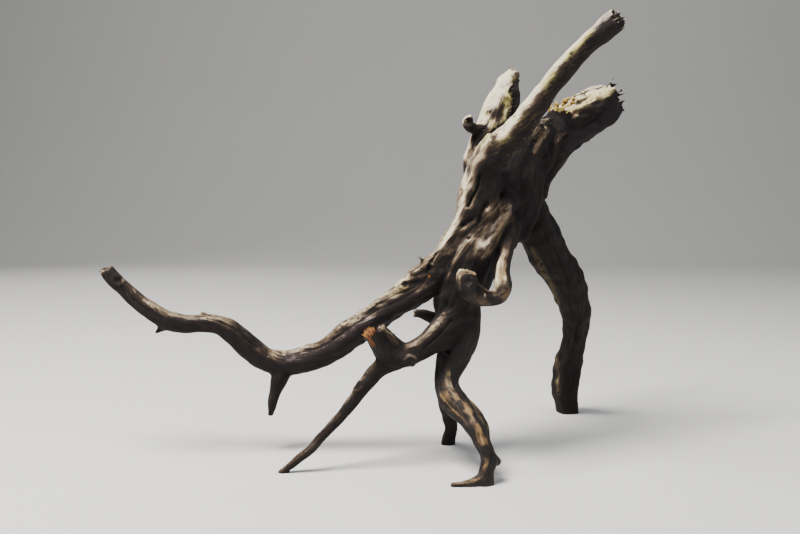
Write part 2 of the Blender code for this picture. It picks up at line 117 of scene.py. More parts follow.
LIMBS = (
    Limb("heart", 4, 0, Weathering.SHADED, (
        (74, 15, 209, 15), (75, 16, 190, 17), (75, 14, 175, 18.5), (68, 10, 161, 18.5),
        (58, 4, 143, 17.5), (46, -2, 125, 17.5), (41, -8, 111, 16), (44, -12, 97, 13))),
    Limb("back", 3, 15, Weathering.SHADED, (
        (66, 14, 222, 12), (61, 8, 205, 14.5), (58, 3, 188, 16), (56, 0, 168, 16),
        (46, -4, 148, 14), (34, -6, 134, 11))),
    Limb("tail", 4, 20, Weathering.WORN, (
        (70, -20, 229, 9), (61, -16, 212, 12), (57, -14, 190, 13.5), (51, -14, 168, 15),
        (42, -14, 155, 14.5), (32, -13, 142, 13.5), (20, -12, 131, 13), (9, -10, 121, 12),
        (-4, -8, 112, 11), (-18, -6, 102, 10), (-35, -4, 89, 10), (-52, -2, 77, 9.6),
        (-68, -1, 70, 9.2), (-83, 0, 66, 8.9), (-98, 0, 69, 8.5), (-111, -1, 78, 8.5),
        (-121, -3, 88, 8.1), (-133, -5, 96, 7.2), (-146, -7, 97, 6.9), (-159, -8, 97, 6.9),
        (-170, -8, 100, 7.3), (-181, -7, 106, 6.6), (-191, -6, 113, 5.8),
        (-201, -5, 122, 5.9), (-209, -4, 129, 6.2), (-214, -4, 136, 5.4))),
    Limb("breast", 3, 25, Weathering.WORN, (
        (88, 8, 190, 5), (78, -1, 184, 8), (70, -9, 178, 10.5), (64, -14, 170, 12.3),
        (58, -18, 160, 13.3), (52, -20, 148, 13.6), (47, -20, 135, 13.7), (42, -18, 120, 13.2),
        (40, -16, 107, 11.5))),
    Limb("neck", 3, 40, Weathering.SHADED, (
        (82, 12, 158, 12), (88, 19, 181, 17), (88, 18, 202, 19), (92, 21, 218, 17), (101, 28, 231, 13),
        (112, 35, 243, 8))),
    Limb("spear", 0, 0, Weathering.BLEACHED, (
        (55, -14, 200, 9), (69, -19, 221, 10.8), (80, -22, 233, 9.9), (87, -25, 242, 8.7),
        (94, -29, 252, 8), (101, -34, 263, 7.4), (112, -41, 277, 7.1), (123, -49, 289, 6.9),
        (131, -54, 296, 7.2), (137, -58, 301, 7.8), (141, -61, 304, 7.1))),
    Limb("left_stump", 3, 0, Weathering.SILVERED, (
        (73, 20, 194, 12), (64, 14, 210, 16), (66, 17, 228, 14), (70, 20, 238, 13.4),
        (73, 22, 246, 13.2), (76, 25, 256, 12.6), (79, 28, 265, 11.4), (81, 30, 273, 9.2),
        (84, 32, 280, 6), (86, 33, 284, 3.8))),
    Limb("right_stump", 4, 30, Weathering.TORN, (
        (86, 24, 164, 11), (96, 34, 186, 15.5), (105, 42, 208, 16), (118, 48, 227, 16.8),
        (132, 54, 242, 17.3), (147, 60, 253, 17.4), (160, 64, 262, 16.3), (169, 67, 268, 13))),
    Limb("middle_stump", 3, 10, Weathering.TORN, (
        (99, 30, 203, 12), (110, 35, 225, 10), (118, 39, 242, 9), (122, 41, 256, 8.7))),
    Limb("right_leg", 4, 45, Weathering.SMOOTH, (
        (80, 24, 224, 9), (84, 30, 206, 14.5), (92, 32, 190, 15.5), (100, 36, 175, 15.8),
        (108, 42, 161, 16.2), (117, 50, 146, 15.8), (130, 60, 129, 14), (140, 70, 112, 13.5),
        (146, 80, 95, 11.7), (149, 90, 76, 10.6), (147, 98, 58, 10.3), (145, 106, 39, 11.3),
        (144, 110, 20, 10.7), (147, 112, 7, 9.7), (148, 112, -4, 9.2))),
    Limb("front_leg", 4, 70, Weathering.RUSTY, (
        (45, -6, 114, 13), (46, -12, 97, 12.3), (41, -16, 81, 11.5), (36, -20, 69, 10.4),
        (33, -26, 59, 9.2), (35, -34, 50, 8.8), (41, -43, 44, 8.5), (48, -52, 39, 8.1),
        (53, -60, 33, 7.1), (55, -66, 26, 5.9), (58, -70, 20, 5.4), (59, -72, 14, 5.6),
        (57, -73, 9, 5), (56, -74, -3, 5.6))),
    Limb("toe", 0, 0, Weathering.RUSTY, (
        (58, -73, 11, 4.4), (54, -75, 5, 3.9), (47, -77, 2, 3), (40, -78, 1, 2.3),
        (33, -78, 1, 1.7))),
    Limb("heel", 0, 0, Weathering.RUSTY, (
        (60, -71, 18, 4.6), (63, -69, 15, 3.8), (66, -67, 12, 2.8))),
    Limb("rear_leg", 3, 0, Weathering.SMOOTH, (
        (36, -20, 52, 8), (35, -8, 39, 7.3), (37, 4, 26, 6), (39, 12, 14, 5.2),
        (38, 16, 6, 5.6), (37, 18, -2, 6.5))),
    Limb("thin_leg", 3, 0, Weathering.SMOOTH, (
        (45, -14, 106, 13.5), (36, -20, 98, 12), (26, -26, 90, 10), (15, -30, 83, 8.5),
        (4, -32, 78, 8.4), (-6, -34, 75, 8.5), (-16, -36, 68, 6.3), (-24, -38, 59, 5.3),
        (-31, -40, 50, 4.5), (-38, -42, 41, 4.1), (-46, -44, 32, 3.8), (-55, -46, 23, 3.6),
        (-61, -48, 16, 3.5), (-70, -49, 9, 3.3), (-76, -50, 4, 3), (-83, -51, -1, 2.6))),
    Limb("broken_twig", 0, 0, Weathering.RUSTY, (
        (-6, -34, 75, 7.7), (-13, -38, 83, 6.3), (-18, -41, 91, 5.2), (-22, -43, 97, 4.5))),
    Limb("pale_twig", 0, 0, Weathering.SHADED, (
        (1, -32, 80, 6.3), (-4, -34, 87, 4.9), (-10, -36, 94, 4.2), (-14, -37, 99, 3.6))),
    Limb("cut_twig", 0, 0, Weathering.SMOOTH, (
        (17, -30, 82, 6.3), (10, -35, 77, 4.9), (6, -38, 73, 4.2))),
    Limb("thorn", 0, 0, Weathering.SMOOTH, (
        (-86, 0, 64, 8.2), (-89, -2, 55, 6.5), (-92, -3, 47, 4.9), (-94, -4, 39, 3.9),
        (-95, -4, 33, 2.9), (-96, -4, 28, 1.6))),
    Limb("hook", 3, 0, Weathering.TORN, (
        (79, -2, 171, 9.5), (76, -16, 158, 7), (74, -26, 148, 5), (71, -34, 139, 5.4),
        (70, -41, 128, 6.6), (67, -44, 122, 6.5), (60, -47, 120, 6.2), (52, -51, 122, 7),
        (46, -54, 129, 7.3), (45, -55, 135, 7), (46, -56, 139, 5.6))),
    Limb("back_twig", 0, 0, Weathering.SHADED, (
        (35, 0, 97, 5.9), (27, 6, 98, 4.8), (18, 10, 101, 4.1), (11, 12, 102, 3.4))),
    Limb("curl", 0, 0, Weathering.SILVERED, (
        (64, 16, 238, 5), (58, 11, 239, 4.4), (53, 8, 239, 3.8), (49, 6, 241, 3.4),
        (49, 6, 245, 3), (53, 7, 247, 2.6))),
)


class Tear(Enum):
    """The wood that a break lays bare."""

    OLD = "grey, dark at the root"
    FRESH = "orange"
    YELLOW = "rotten and yellow"


@dataclass(frozen=True)
class Break:
    """A broken end: the big shards round it, how far they stand out in mm, and how fresh it is.

    Its slivers are so many, up to so wide, and lean outward by so much.
    """

    limb: str
    shards: int
    length: float
    fresh: float
    slivers: int
    widest: float
    splay: float
    tear: Tear = Tear.OLD


BREAKS = (
    Break("spear", 6, 4.0, 0.0, 12, 0.7, 0.3),
    Break("left_stump", 4, 5.0, 0.1, 30, 1.2, 0.15),
    Break("right_stump", 7, 10.0, 0.0, 16, 1.3, 0.05),
    Break("middle_stump", 6, 9.0, 0.15, 46, 2.2, 0.6, Tear.YELLOW),
    Break("neck", 4, 6.0, 0.0, 12, 1.2, 0.2),
    Break("broken_twig", 5, 4.5, 0.55, 64, 0.9, 0.3, Tear.FRESH),
    Break("pale_twig", 3, 2.5, 0.0, 12, 0.8, 0.2),
    Break("back_twig", 3, 3.0, 0.2, 24, 0.9, 0.3),
    Break("tail", 4, 2.5, 0.05, 26, 1.2, 0.2),
)

# Big splinters, spurs and knobs: root point, tip, radius at the root, in mm.
SPURS = (
    ((108, 22, 217), (105, 16, 244), 5.5),
    ((108, 22, 214), (110, 15, 232), 4.0),
    ((139, 48, 247), (115, 30, 233), 4.0),
    ((139, -60, 304), (140, -61, 314), 1.5),
    ((143, -61, 302), (146, -62, 309), 1.5),
    ((-214, -4, 136), (-220, -3, 137), 2.0),
    ((-172, -8, 98), (-178, -10, 90), 2.8),
    ((78, 31, 270), (92, 30, 277), 3.4),
    ((80, 31, 272), (83, 31, 287), 2.6),
    ((151, 62, 262), (146, 60, 277), 2.2),
    ((158, 63, 268), (170, 63, 283), 5.0),
    ((160, 65, 268), (180, 65, 271), 4.6),
    ((160, 66, 260), (180, 68, 258), 4.6),
    ((154, 60, 254), (168, 54, 264), 4.2),
    ((-26, -40, 57), (-33, -43, 58), 3.0),
    ((18, -14, 140), (13, -20, 148), 4.4),
)
# Spurs that only the fine skin has: the tail's triangular point, the long bump on its top and the
# claw at the left stump's tip.
FINE_SPURS = (
    ((-166, -8, 101), (-178, -9.5, 90), 7.6),
    ((-146, -7, 103), (-121, -5, 94.5), 4.0),
    ((83, 31, 283), (93, 29, 279), 3.0),
)
SPUR_SIDES = 14
SPUR_RINGS = 12
SPUR_TIP_SHARE = 0.18
SPUR_FLATNESS = 0.6

# Hollows: two end points and a radius, in mm.
PITS = (
    ((-205, -11.5, 130.5), (-203, -11.5, 129.5), 2.6),
    ((44, -33, 171), (50, -33, 175), 1.7),
    ((58, 2, 232), (62, 4, 228), 4.4),
    ((69, 6, 235), (72, 8, 238), 2.4),
    ((86, 12, 246), (89, 16, 268), 6.0),
    ((138, 31, 240), (159, 40, 252), 9.0),
    ((131, 41, 266), (143, 46, 275), 12.0),
    ((119, 24, 240), (124, 28, 234), 5.0),
    ((55, -30, 206), (52, -30, 194), 1.8),
    ((54, -30, 190), (58, -29, 181), 2.4),
    ((4, -22, 129), (6, -22, 127), 2.4),
    ((-39, -15, 98), (-37, -15, 97), 2.4),
    ((32, -31, 81), (34, -31, 79), 2.2),
)

# The eggs that cut the hollows: rings and sides, how near the poles the rings go, and the lobes.
EGG_RINGS = 15
EGG_SIDES = 20
EGG_POLE = 0.995
EGG_LOBES = 0.16


def unit(vectors: np.ndarray) -> np.ndarray:
    """Each row at length one.

    Args:
        vectors: rows of three numbers.

    Returns:
        The rows, each divided by its length.
    """
    return vectors / np.maximum(np.linalg.norm(vectors, axis=-1, keepdims=True), 1e-9)


def smooth_step(value: np.ndarray, low: float, high: float) -> np.ndarray:
    """A soft rise from 0 at low to 1 at high: t squared times three less two t.

    Args:
        value: the numbers that rise.
        low: where the rise starts.
        high: where it ends; below low, the rise runs the other way.

    Returns:
        Numbers from 0 to 1.
    """
    t = np.clip((value - low) / (high - low), 0, 1)
    return t * t * (3 - 2 * t)


def smooth_line(stations: Sequence[Sequence[float]], step: float = ROUTE_STEP) -> np.ndarray:
    """Points on a Catmull-Rom curve, the cubic through each two stations that their neighbours steer.

    Args:
        stations: rows whose first three numbers are a place in mm.
        step: about how far apart the points are.

    Returns:
        Rows like the stations', close together.
    """
    ends = np.asarray(stations, dtype=float)
    padded = np.vstack([2 * ends[0] - ends[1], ends, 2 * ends[-1] - ends[-2]])
    pieces = []
    for before, start, stop, after in zip(padded, padded[1:], padded[2:], padded[3:]):
        count = max(2, round(float(np.linalg.norm((stop - start)[:3])) / step))
        t = np.linspace(0, 1, count, endpoint=False)[:, None]
        pieces.append(0.5 * (2 * start + (stop - before) * t
                             + (2 * before - 5 * start + 4 * stop - after) * t ** 2
                             + (3 * start - before - 3 * stop + after) * t ** 3))
    return np.vstack(pieces + [ends[-1:]])


class GrainNoise:
    """Soft gradient noise: each lattice corner has a slope, and the slopes' heights are blended."""

    def __init__(self, seed: int) -> None:
        """Draw the lattice's order and slopes.

        Args:
            seed: the number that sets the draw.
        """
        draw = np.random.default_rng(seed)
        self.order = draw.permutation(256)
        self.order = np.concatenate([self.order, self.order])
        self.slopes = unit(draw.normal(size=(256, 3))).astype(np.float32)

    def at(self, points: np.ndarray) -> np.ndarray:
        """The noise at some points, from about -1 to 1.

        Args:
            points: rows of three numbers, in lattice cells.

        Returns:
            One number a row.
        """
        floor = np.floor(points)
        cell = floor.astype(np.int64) & 255
        part = (points - floor).astype(np.float32)
        fade = part ** 3 * (part * (part * 6 - 15) + 10)
        total = np.zeros(len(points), dtype=np.float32)
        for corner in np.ndindex(2, 2, 2):
            x, y, z = ((cell[:, k] + corner[k]) & 255 for k in range(3))
            slope = self.slopes[self.order[self.order[self.order[x] + y] + z] & 255]
            height = np.einsum("ij,ij->i", slope, part - np.array(corner, dtype=np.float32))
            share = np.ones(len(points), dtype=np.float32)
            for k in range(3):
                share *= fade[:, k] if corner[k] else 1 - fade[:, k]
            total += share * height
        return total * 1.6


@dataclass
class Shell:
    """A mesh as arrays: points in mm, four-cornered faces and three-cornered faces."""

    points: np.ndarray
    quads: np.ndarray = field(default_factory=lambda: np.zeros((0, 4), dtype=np.int64))
    triangles: np.ndarray = field(default_factory=lambda: np.zeros((0, 3), dtype=np.int64))

    @staticmethod
    def joined(shells: Iterable["Shell"]) -> "Shell":
        """Several shells as one, with their corner numbers moved up in turn."""
        shells = list(shells)
        starts = np.cumsum([0] + [len(shell.points) for shell in shells])
        return Shell(np.vstack([shell.points for shell in shells]),
                     np.vstack([shell.quads + start for shell, start in zip(shells, starts)]),
                     np.vstack([shell.triangles + start for shell, start in zip(shells, starts)]))

    @staticmethod
    def lofted(rings: np.ndarray) -> "Shell":
        """Closed skins over rings of points, with a fan of triangles to a pole at each end.

        A ring's corner j on ring i is joined to corner j + 1 and to ring i + 1. The poles stand at
        the means of the first and last ring.

        Args:
            rings: an array of (rings, corners, 3), or (skins, rings, corners, 3) for many at once.

        Returns:
            The closed shell, with its faces pointing out where the rings turn left round the path.
        """
        rings = rings if rings.ndim == 4 else rings[None]
        skins, count, sides, _ = rings.shape
        poles = np.stack([rings[:, 0].mean(axis=1), rings[:, -1].mean(axis=1)], axis=1)
        points = np.concatenate([rings.reshape(skins, -1, 3), poles], axis=1)
        first = np.arange(sides)
        second = (first + 1) % sides
        low = (np.arange(count - 1) * sides)[:, None]
        quads = np.stack([low + first, low + second, low + sides + second, low + sides + first], axis=-1)
        end = (count - 1) * sides
        start_pole = np.full(sides, count * sides)
        caps = np.vstack([np.c_[second, first, start_pole],
                          np.c_[end + first, end + second, start_pole + 1]])
        shift = (np.arange(skins) * points.shape[1])[:, None, None]
        return Shell(points.reshape(-1, 3), (quads.reshape(-1, 4)[None] + shift).reshape(-1, 4),
                     (caps[None] + shift).reshape(-1, 3))

    def mesh(self, name: str) -> bpy.types.Mesh:
        """The shell as a smooth mesh in metres."""
        mesh = bpy.data.meshes.new(name)
        mesh.vertices.add(len(self.points))
        mesh.vertices.foreach_set("co", (self.points * MM).astype(np.float32).ravel())
        corners = np.concatenate([self.quads.ravel(), self.triangles.ravel()])
        mesh.loops.add(len(corners))
        mesh.loops.foreach_set("vertex_index", corners.astype(np.int32))
        starts = np.concatenate([np.arange(len(self.quads)) * 4,
                                 len(self.quads) * 4 + np.arange(len(self.triangles)) * 3])
        mesh.polygons.add(len(starts))
        mesh.polygons.foreach_set("loop_start", starts.astype(np.int32))
        mesh.update(calc_edges=True)
        mesh.validate()
        mesh.shade_smooth()
        return mesh


def shell_of(mesh: bpy.types.Mesh) -> Shell:
    """A mesh of four-cornered faces as arrays in mm."""
    points = np.empty(len(mesh.vertices) * 3, dtype=np.float32)
    mesh.vertices.foreach_get("co", points)
    corners = np.empty(len(mesh.loops), dtype=np.int32)
    mesh.loops.foreach_get("vertex_index", corners)
    return Shell(points.reshape(-1, 3).astype(float) / MM, corners.reshape(-1, 4).astype(np.int64))


def add_attribute(mesh: bpy.types.Mesh, name: str, values: np.ndarray) -> None:
    """Keep a number or a vector a point on a mesh, for the material to read.

    Args:
        mesh: the mesh that gets it.
        name: what the material asks for.
        values: one number a point, or rows of three.
    """
    many = values.ndim == 2
    layer = mesh.attributes.new(name, "FLOAT_VECTOR" if many else "FLOAT", "POINT")
    layer.data.foreach_set("vector" if many else "value", values.astype(np.float32).ravel())


def added(name: str, data: bpy.types.ID) -> bpy.types.Object:
    """A new object in the scene that holds a mesh, a lamp or a camera."""
    made = bpy.data.objects.new(name, data)
    bpy.context.scene.collection.objects.link(made)
    return made


def discard(*used: bpy.types.Object) -> None:
    """Remove some objects and their meshes."""
    for each in used:
        mesh = each.data
        bpy.data.objects.remove(each)
        bpy.data.meshes.remove(mesh)


def with_modifiers(piece: bpy.types.Object) -> bpy.types.Mesh:
    """A new mesh: the piece's own with its modifiers applied."""
    graph = bpy.context.evaluated_depsgraph_get()
    return bpy.data.meshes.new_from_object(piece.evaluated_get(graph))


def held_in_box(points: np.ndarray) -> np.ndarray:
    """Points in mm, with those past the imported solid's box moved just inside it."""
    low, high = (np.array(corner) / MM for corner in CAD_BOX)
    return np.clip(points, low + BOX_MARGIN, high - BOX_MARGIN)


def show(name: str, mesh: bpy.types.Mesh, material: bpy.types.Material) -> bpy.types.Object:
    """A finished piece of the wood: at the origin, dressed, and riding on the root.

    Args:
        name: the piece's name.
        mesh: its mesh, in place.
        material: its finish.

    Returns:
        The piece.
    """
    mesh.name = name
    mesh.materials.append(material)
    piece = added(name, mesh)
    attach(piece, BODY)
    log.info("%s: %d points, %d faces", name, len(mesh.vertices), len(mesh.polygons))
    return piece


class Route:
    """A limb's centre line with its radius, its run in mm and two directions square to it."""

    def __init__(self, limb: Limb) -> None:
        """Work out the line and carry the frame along it without twist.

        Args:
            limb: the limb whose line it is.
        """
        line = smooth_line(limb.stations)
        self.limb = limb
        self.points = line[:, :3] + SURVEY_POINT
        self.radii = line[:, 3]
        self.along = unit(np.gradient(self.points, axis=0))
        side = np.cross(self.along[0], (0, 1, 0))
        sides = []
        for direction in self.along:
            side = side - direction * np.dot(side, direction)
            side /= np.linalg.norm(side)
            sides.append(side)
        self.side = np.array(sides)
        self.up = np.cross(self.along, self.side)
        steps = np.linalg.norm(np.diff(self.points, axis=0), axis=1)
        self.run = np.r_[0, np.cumsum(steps)]
        self.grain_side = self.side
        self.grain_up = self.up
        self.grain_run = self.run
        self.grain_start = np.zeros(2)

    def outline(self, angles: np.ndarray) -> np.ndarray:
        """How far the limb's section reaches at each station in each direction.

        The reach is the farther of the core circle and of the sinew circles. A circle of radius q
        whose centre stands d away at angle p reaches d cos(a - p) plus the root of q squared less
        d squared sin(a - p) squared.

        Args:
            angles: directions round the section, in radians.

        Returns:
            An array of (stations, angles), in mm.
        """
        radii = self.radii[:, None]
        if not self.limb.sinews:
            return radii * np.ones_like(angles)
        reach = radii * CORE_SHARE * np.ones_like(angles)
        for index in range(self.limb.sinews):
            start = math.radians(self.limb.first_angle) + FULL_TURN * index / self.limb.sinews
            turn = angles - (start + self.run * SINEW_TURN_PER_MM)[:, None]
            away = radii * (SINEW_REACH - SINEW_SHARE)
            sinew = away * np.cos(turn) + np.sqrt((radii * SINEW_SHARE) ** 2 - (away * np.sin(turn)) ** 2)
            reach = np.maximum(reach, sinew)
        return reach

    def skin(self) -> Shell:
        """The limb's own closed skin: its section carried along its line."""
        angles = np.linspace(0, FULL_TURN, AROUND, endpoint=False)
        reach = self.outline(angles)[..., None]
        rings = self.points[:, None] + reach * (np.cos(angles)[None, :, None] * self.side[:, None]
                                                + np.sin(angles)[None, :, None] * self.up[:, None])
        return Shell.lofted(rings)

    def end_frame(self) -> tuple[np.ndarray, float, np.ndarray, np.ndarray, np.ndarray]:
        """The broken end: its middle, its radius, and the directions out, aside and up."""
        along = unit(self.points[-1] - self.points[-4])
        return self.points[-1], float(self.radii[-1]), along, self.side[-1], self.up[-1]

    def follow(self, older: "Route") -> float:
        """Let this limb's grain run on from an older limb's, and say how near the two come.

        The end that lies deeper in the older limb takes its place across and along the grain from
        there, and the directions across the grain are turned to match.

        Args:
            older: a limb whose grain is already laid.

        Returns:
            The distance in mm between the two lines where they meet, in the older one's radii.
        """
        gaps = [np.linalg.norm(older.points - self.points[end], axis=1) / older.radii for end in (0, -1)]
        end = 0 if gaps[0].min() <= gaps[1].min() else -1
        place = int(gaps[0 if end == 0 else 1].argmin())
        away = self.points[end] - older.points[place]
        same_way = 1.0 if np.dot(self.along[end], older.along[place]) >= 0 else -1.0
        turn = math.atan2(np.dot(older.grain_side[place], self.up[end]),
                          np.dot(older.grain_side[place], self.side[end]))
        self.grain_side = math.cos(turn) * self.side + math.sin(turn) * self.up
        self.grain_up = same_way * (math.cos(turn) * self.up - math.sin(turn) * self.side)
        self.grain_start = older.grain_start + np.array((np.dot(away, older.grain_side[place]),
                                                         np.dot(away, older.grain_up[place])))
        meeting = older.grain_run[place] + np.dot(away, older.along[place])
        self.grain_run = meeting + same_way * (self.run - self.run[end])
        return float(gaps[0 if end == 0 else 1].min())


class Grain:
    """Places across and along the grain, for any point on the wood.

    A point takes its place from the limbs round it. A limb's share falls off with the point's
    height over its skin, so that the grain of two limbs runs together where they join.
    """

    blend_mm = 2.2
    least_share = 0.01
    chunk = 20000

    def __init__(self, routes: Sequence[Route]) -> None:
        """Lay the grain of each limb on from the nearest one before it.

        Args:
            routes: the limbs' lines, the heart first.
        """
        self.routes = list(routes)
        for index, route in enumerate(self.routes[1:], start=1):
            nearest = min(self.routes[:index], key=route.follow)
            route.follow(nearest)

    def places(self, points: np.ndarray) -> dict[str, np.ndarray]:
        """What the limbs round each point give it.

        Args:
            points: rows of x, y and z in mm.

        Returns:
            flow (across, across and along the grain in mm), radius, pale, warm, rough and to_end (how
            far the limb's broken end is), a row or a number a point.
        """
        count = len(points)
        gaps = np.empty((len(self.routes), count), dtype=np.float32)
        nearest = np.empty((len(self.routes), count), dtype=np.int32)
        for row, route in enumerate(self.routes):
            line = route.points.astype(np.float32)
            for start in range(0, count, self.chunk):
                part = points[start:start + self.chunk].astype(np.float32)
                square = ((part ** 2).sum(axis=1)[:, None] + (line ** 2).sum(axis=1)[None]
                          - 2 * part @ line.T)
                reach = np.sqrt(np.maximum(square, 0)) - route.radii.astype(np.float32)[None]
                pick = reach.argmin(axis=1)
                nearest[row, start:start + self.chunk] = pick
                gaps[row, start:start + self.chunk] = reach[np.arange(len(part)), pick]
        shares = np.exp(-(gaps - gaps.min(axis=0)) / self.blend_mm)
        shares[shares < self.least_share] = 0
        shares /= shares.sum(axis=0)
        kept = {"flow": np.zeros((count, 3)), "radius": np.zeros(count), "pale": np.zeros(count),
                "warm": np.zeros(count), "rough": np.zeros(count), "to_end": np.zeros(count)}
        for row, route in enumerate(self.routes):
            who = np.flatnonzero(shares[row])
            share = shares[row, who].astype(float)
            at = nearest[row, who]
            away = points[who] - route.points[at]
            step = np.einsum("ij,ij->i", away, route.along[at])
            run = route.grain_run[at] + step * np.sign(route.grain_run[-1] - route.grain_run[0])
            across = np.c_[np.einsum("ij,ij->i", away, route.grain_side[at]),
                           np.einsum("ij,ij->i", away, route.grain_up[at])] + route.grain_start
            turn = -run * SINEW_TURN_PER_MM
            wound = np.c_[across[:, 0] * np.cos(turn) - across[:, 1] * np.sin(turn),
                          across[:, 0] * np.sin(turn) + across[:, 1] * np.cos(turn)]
            kept["flow"][who] += share[:, None] * np.c_[wound, run]
            pale, warm, rough = route.limb.age.value
            for name, value in (("radius", route.radii[at]), ("pale", pale), ("warm", warm),
                                ("rough", rough), ("to_end", route.run[-1] - route.run[at] - step)):
                kept[name][who] += share * value
        return kept


class Net:
    """The edges of a mesh, to smooth what its points hold and to find its separate bodies."""

    def __init__(self, shell: Shell) -> None:
        """Gather each edge once.

        Args:
            shell: a shell of four-cornered faces.
        """
        quads = shell.quads
        edges = np.concatenate([quads[:, (0, 1)], quads[:, (1, 2)], quads[:, (2, 3)], quads[:, (3, 0)]])
        edges.sort(axis=1)
        self.count = len(shell.points)
        keys = np.unique(edges[:, 0] * self.count + edges[:, 1])
        self.start, self.stop = keys // self.count, keys % self.count
        self.degree = np.maximum(np.bincount(self.start, minlength=self.count)
                                 + np.bincount(self.stop, minlength=self.count), 1)

    def mean(self, values: np.ndarray) -> np.ndarray:
        """The mean of each point's neighbours."""
        columns = values if values.ndim == 2 else values[:, None]
        result = np.empty(columns.shape)
        for k in range(columns.shape[1]):
            column = columns[:, k]
            result[:, k] = (np.bincount(self.start, weights=column[self.stop], minlength=self.count)
                            + np.bincount(self.stop, weights=column[self.start], minlength=self.count))
        result /= self.degree[:, None]
        return result if values.ndim == 2 else result[:, 0]

    def smooth(self, values: np.ndarray, passes: int, share: float = 0.5) -> np.ndarray:
        """Move values towards their neighbours' mean, some times over."""
        for _ in range(passes):
            values = values + share * (self.mean(values) - values)
        return values

    def largest_body(self) -> np.ndarray:
        """Which points belong to the body with the most points.

        Every point takes the lowest number that it can reach, first over one edge and then through
        the number that it has, until nothing changes.

        Returns:
            A truth value a point.
        """
        label = np.arange(self.count)
        while True:
            lower = label.copy()
            np.minimum.at(lower, self.start, label[self.stop])
            np.minimum.at(lower, self.stop, label[self.start])
            lower = lower[lower]
            if np.array_equal(lower, label):
                break
            label = lower
        return label == np.bincount(label).argmax()


def normals_of(shell: Shell) -> np.ndarray:
    """Directions square to the skin: the sum of the faces' crossed diagonals round each point."""
    corner = shell.points[shell.quads]
    face = np.cross(corner[:, 2] - corner[:, 0], corner[:, 3] - corner[:, 1])
    total = np.empty_like(shell.points)
    for k in range(3):
        total[:, k] = np.bincount(shell.quads.ravel(), weights=np.repeat(face[:, k], 4),
                                  minlength=len(shell.points))
    return unit(total)


@dataclass(frozen=True)
class Eye:
    """The place that the picture was taken from: stand in mm, focal length in px, pitch in degrees."""

    stand: Triple = (19.9, -640.5, 192.0)
    focal_px: float = 848.0
    pitch: float = -5.0
    width: int = 800
    height: int = 534
    sensor_mm: float = 36.0

    def ray(self, pixel: Pixel) -> np.ndarray:
        """The direction in which a pixel looks.

        Args:
            pixel: x to the right and y down, in the 800 by 534 frame.

        Returns:
            A unit vector.
        """
        x = (pixel[0] - self.width / 2) / self.focal_px
        y = (self.height / 2 - pixel[1]) / self.focal_px
        lean = math.radians(self.pitch)
        return unit(np.array((x, math.cos(lean) - y * math.sin(lean), math.sin(lean) + y * math.cos(lean))))

    def camera(self) -> bpy.types.Object:
        """The camera at that place."""
        data = bpy.data.cameras.new("camera")
        data.sensor_width = self.sensor_mm
        data.lens = self.focal_px * self.sensor_mm / self.width
        data.clip_start = 0.01
        data.clip_end = 20.0
        camera = added("camera", data)
        camera.location = Vector(self.stand) * MM
        camera.rotation_euler = (math.radians(90 + self.pitch), 0, 0)
        bpy.context.scene.camera = camera
        return camera


@dataclass(frozen=True)
class PaintedLightAndShade:
    """Painted light and shade: where light from the lean reaches the wood, with the shadows that the wood
    casts on itself. The finish paints the wood paler where this light falls and leaves the rest dark.

    Directions are spread in a sunflower's order over a cap round the lean. For each direction the wood is
    laid out on a grid square to it, and a point counts as reached where nothing in its cell of the grid
    stands higher than it by more than the slack. Lengths are in mm.
    """

    # The way that the painted light comes from: from above, from the left and a little from the front.
    lean: Triple = (-0.43, -0.05, 0.90)
    cell: float = 2.0
    slack: float = 2.6

    def ways(self, count: int, half_angle: float) -> np.ndarray:
        """Directions over the cap: each lies a golden angle on from the last and a step lower.

        Args:
            count: how many.
            half_angle: from the lean to the cap's rim, in radians.

        Returns:
            A unit vector a row.
        """
        index = np.arange(count) + 0.5
        rise = 1 - (1 - math.cos(half_angle)) * index / count
        flat = np.sqrt(1 - rise ** 2)
        turn = index * GOLDEN_ANGLE
        middle = unit(np.array(self.lean))
        beside = unit(np.cross(middle, (0, 1, 0)))
        above = np.cross(middle, beside)
        return (rise[:, None] * middle + (flat * np.cos(turn))[:, None] * beside
                + (flat * np.sin(turn))[:, None] * above)

    def reach(self, points: np.ndarray, normals: np.ndarray, count: int,
              half_angle: float) -> tuple[np.ndarray, np.ndarray]:
        """The light that each point gets, and what it would get if nothing stood in the way.

        Both are means over the directions of the cosine to the point's normal, where it is above 0.

        Args:
            points: rows of x, y and z.
            normals: the directions square to the skin.
            count: how many directions.
            half_angle: the cap's half angle in radians.

        Returns:
            The two shares, a number a point.
        """
        painted_lit = np.zeros(len(points))
        open_sky = np.zeros(len(points))
        for way in self.ways(count, half_angle):
            beside = unit(np.cross(way, (0.1, 1, 0.2)))
            grid = np.floor(points @ np.c_[beside, np.cross(way, beside)] / self.cell).astype(np.int64)
            grid -= grid.min(axis=0)
            cell = grid[:, 0] * (grid[:, 1].max() + 1) + grid[:, 1]
            height = points @ way
            top = np.full(cell.max() + 1, -np.inf)
            np.maximum.at(top, cell, height)
            facing = np.clip(normals @ way, 0, None)
            open_sky += facing
            painted_lit += np.where(height > top[cell] - self.slack, facing, 0)
        return painted_lit / count, open_sky / count


class MarkKind(Enum):
    """What a mark on the wood is."""

    KNOT = "a ring of swollen grain round a sunk eye"
    GROOVE = "a carved line"
    RIDGE = "a raised line"
    PALE = "a patch worn pale"
    TAN = "a warm patch"
    DARK = "a stained patch"
    FRESH = "bare fresh wood"
    MOSS = "a yellow-green film"


@dataclass(frozen=True)
class Mark:
    """A mark seen at some pixels: what it is, its pixels, its half width in mm and its strength.

    A PALE mark of negative strength is a patch left grey.
    """

    kind: MarkKind
    pixels: tuple[Pixel, ...]
    half_width: float
    strength: float = 1.0


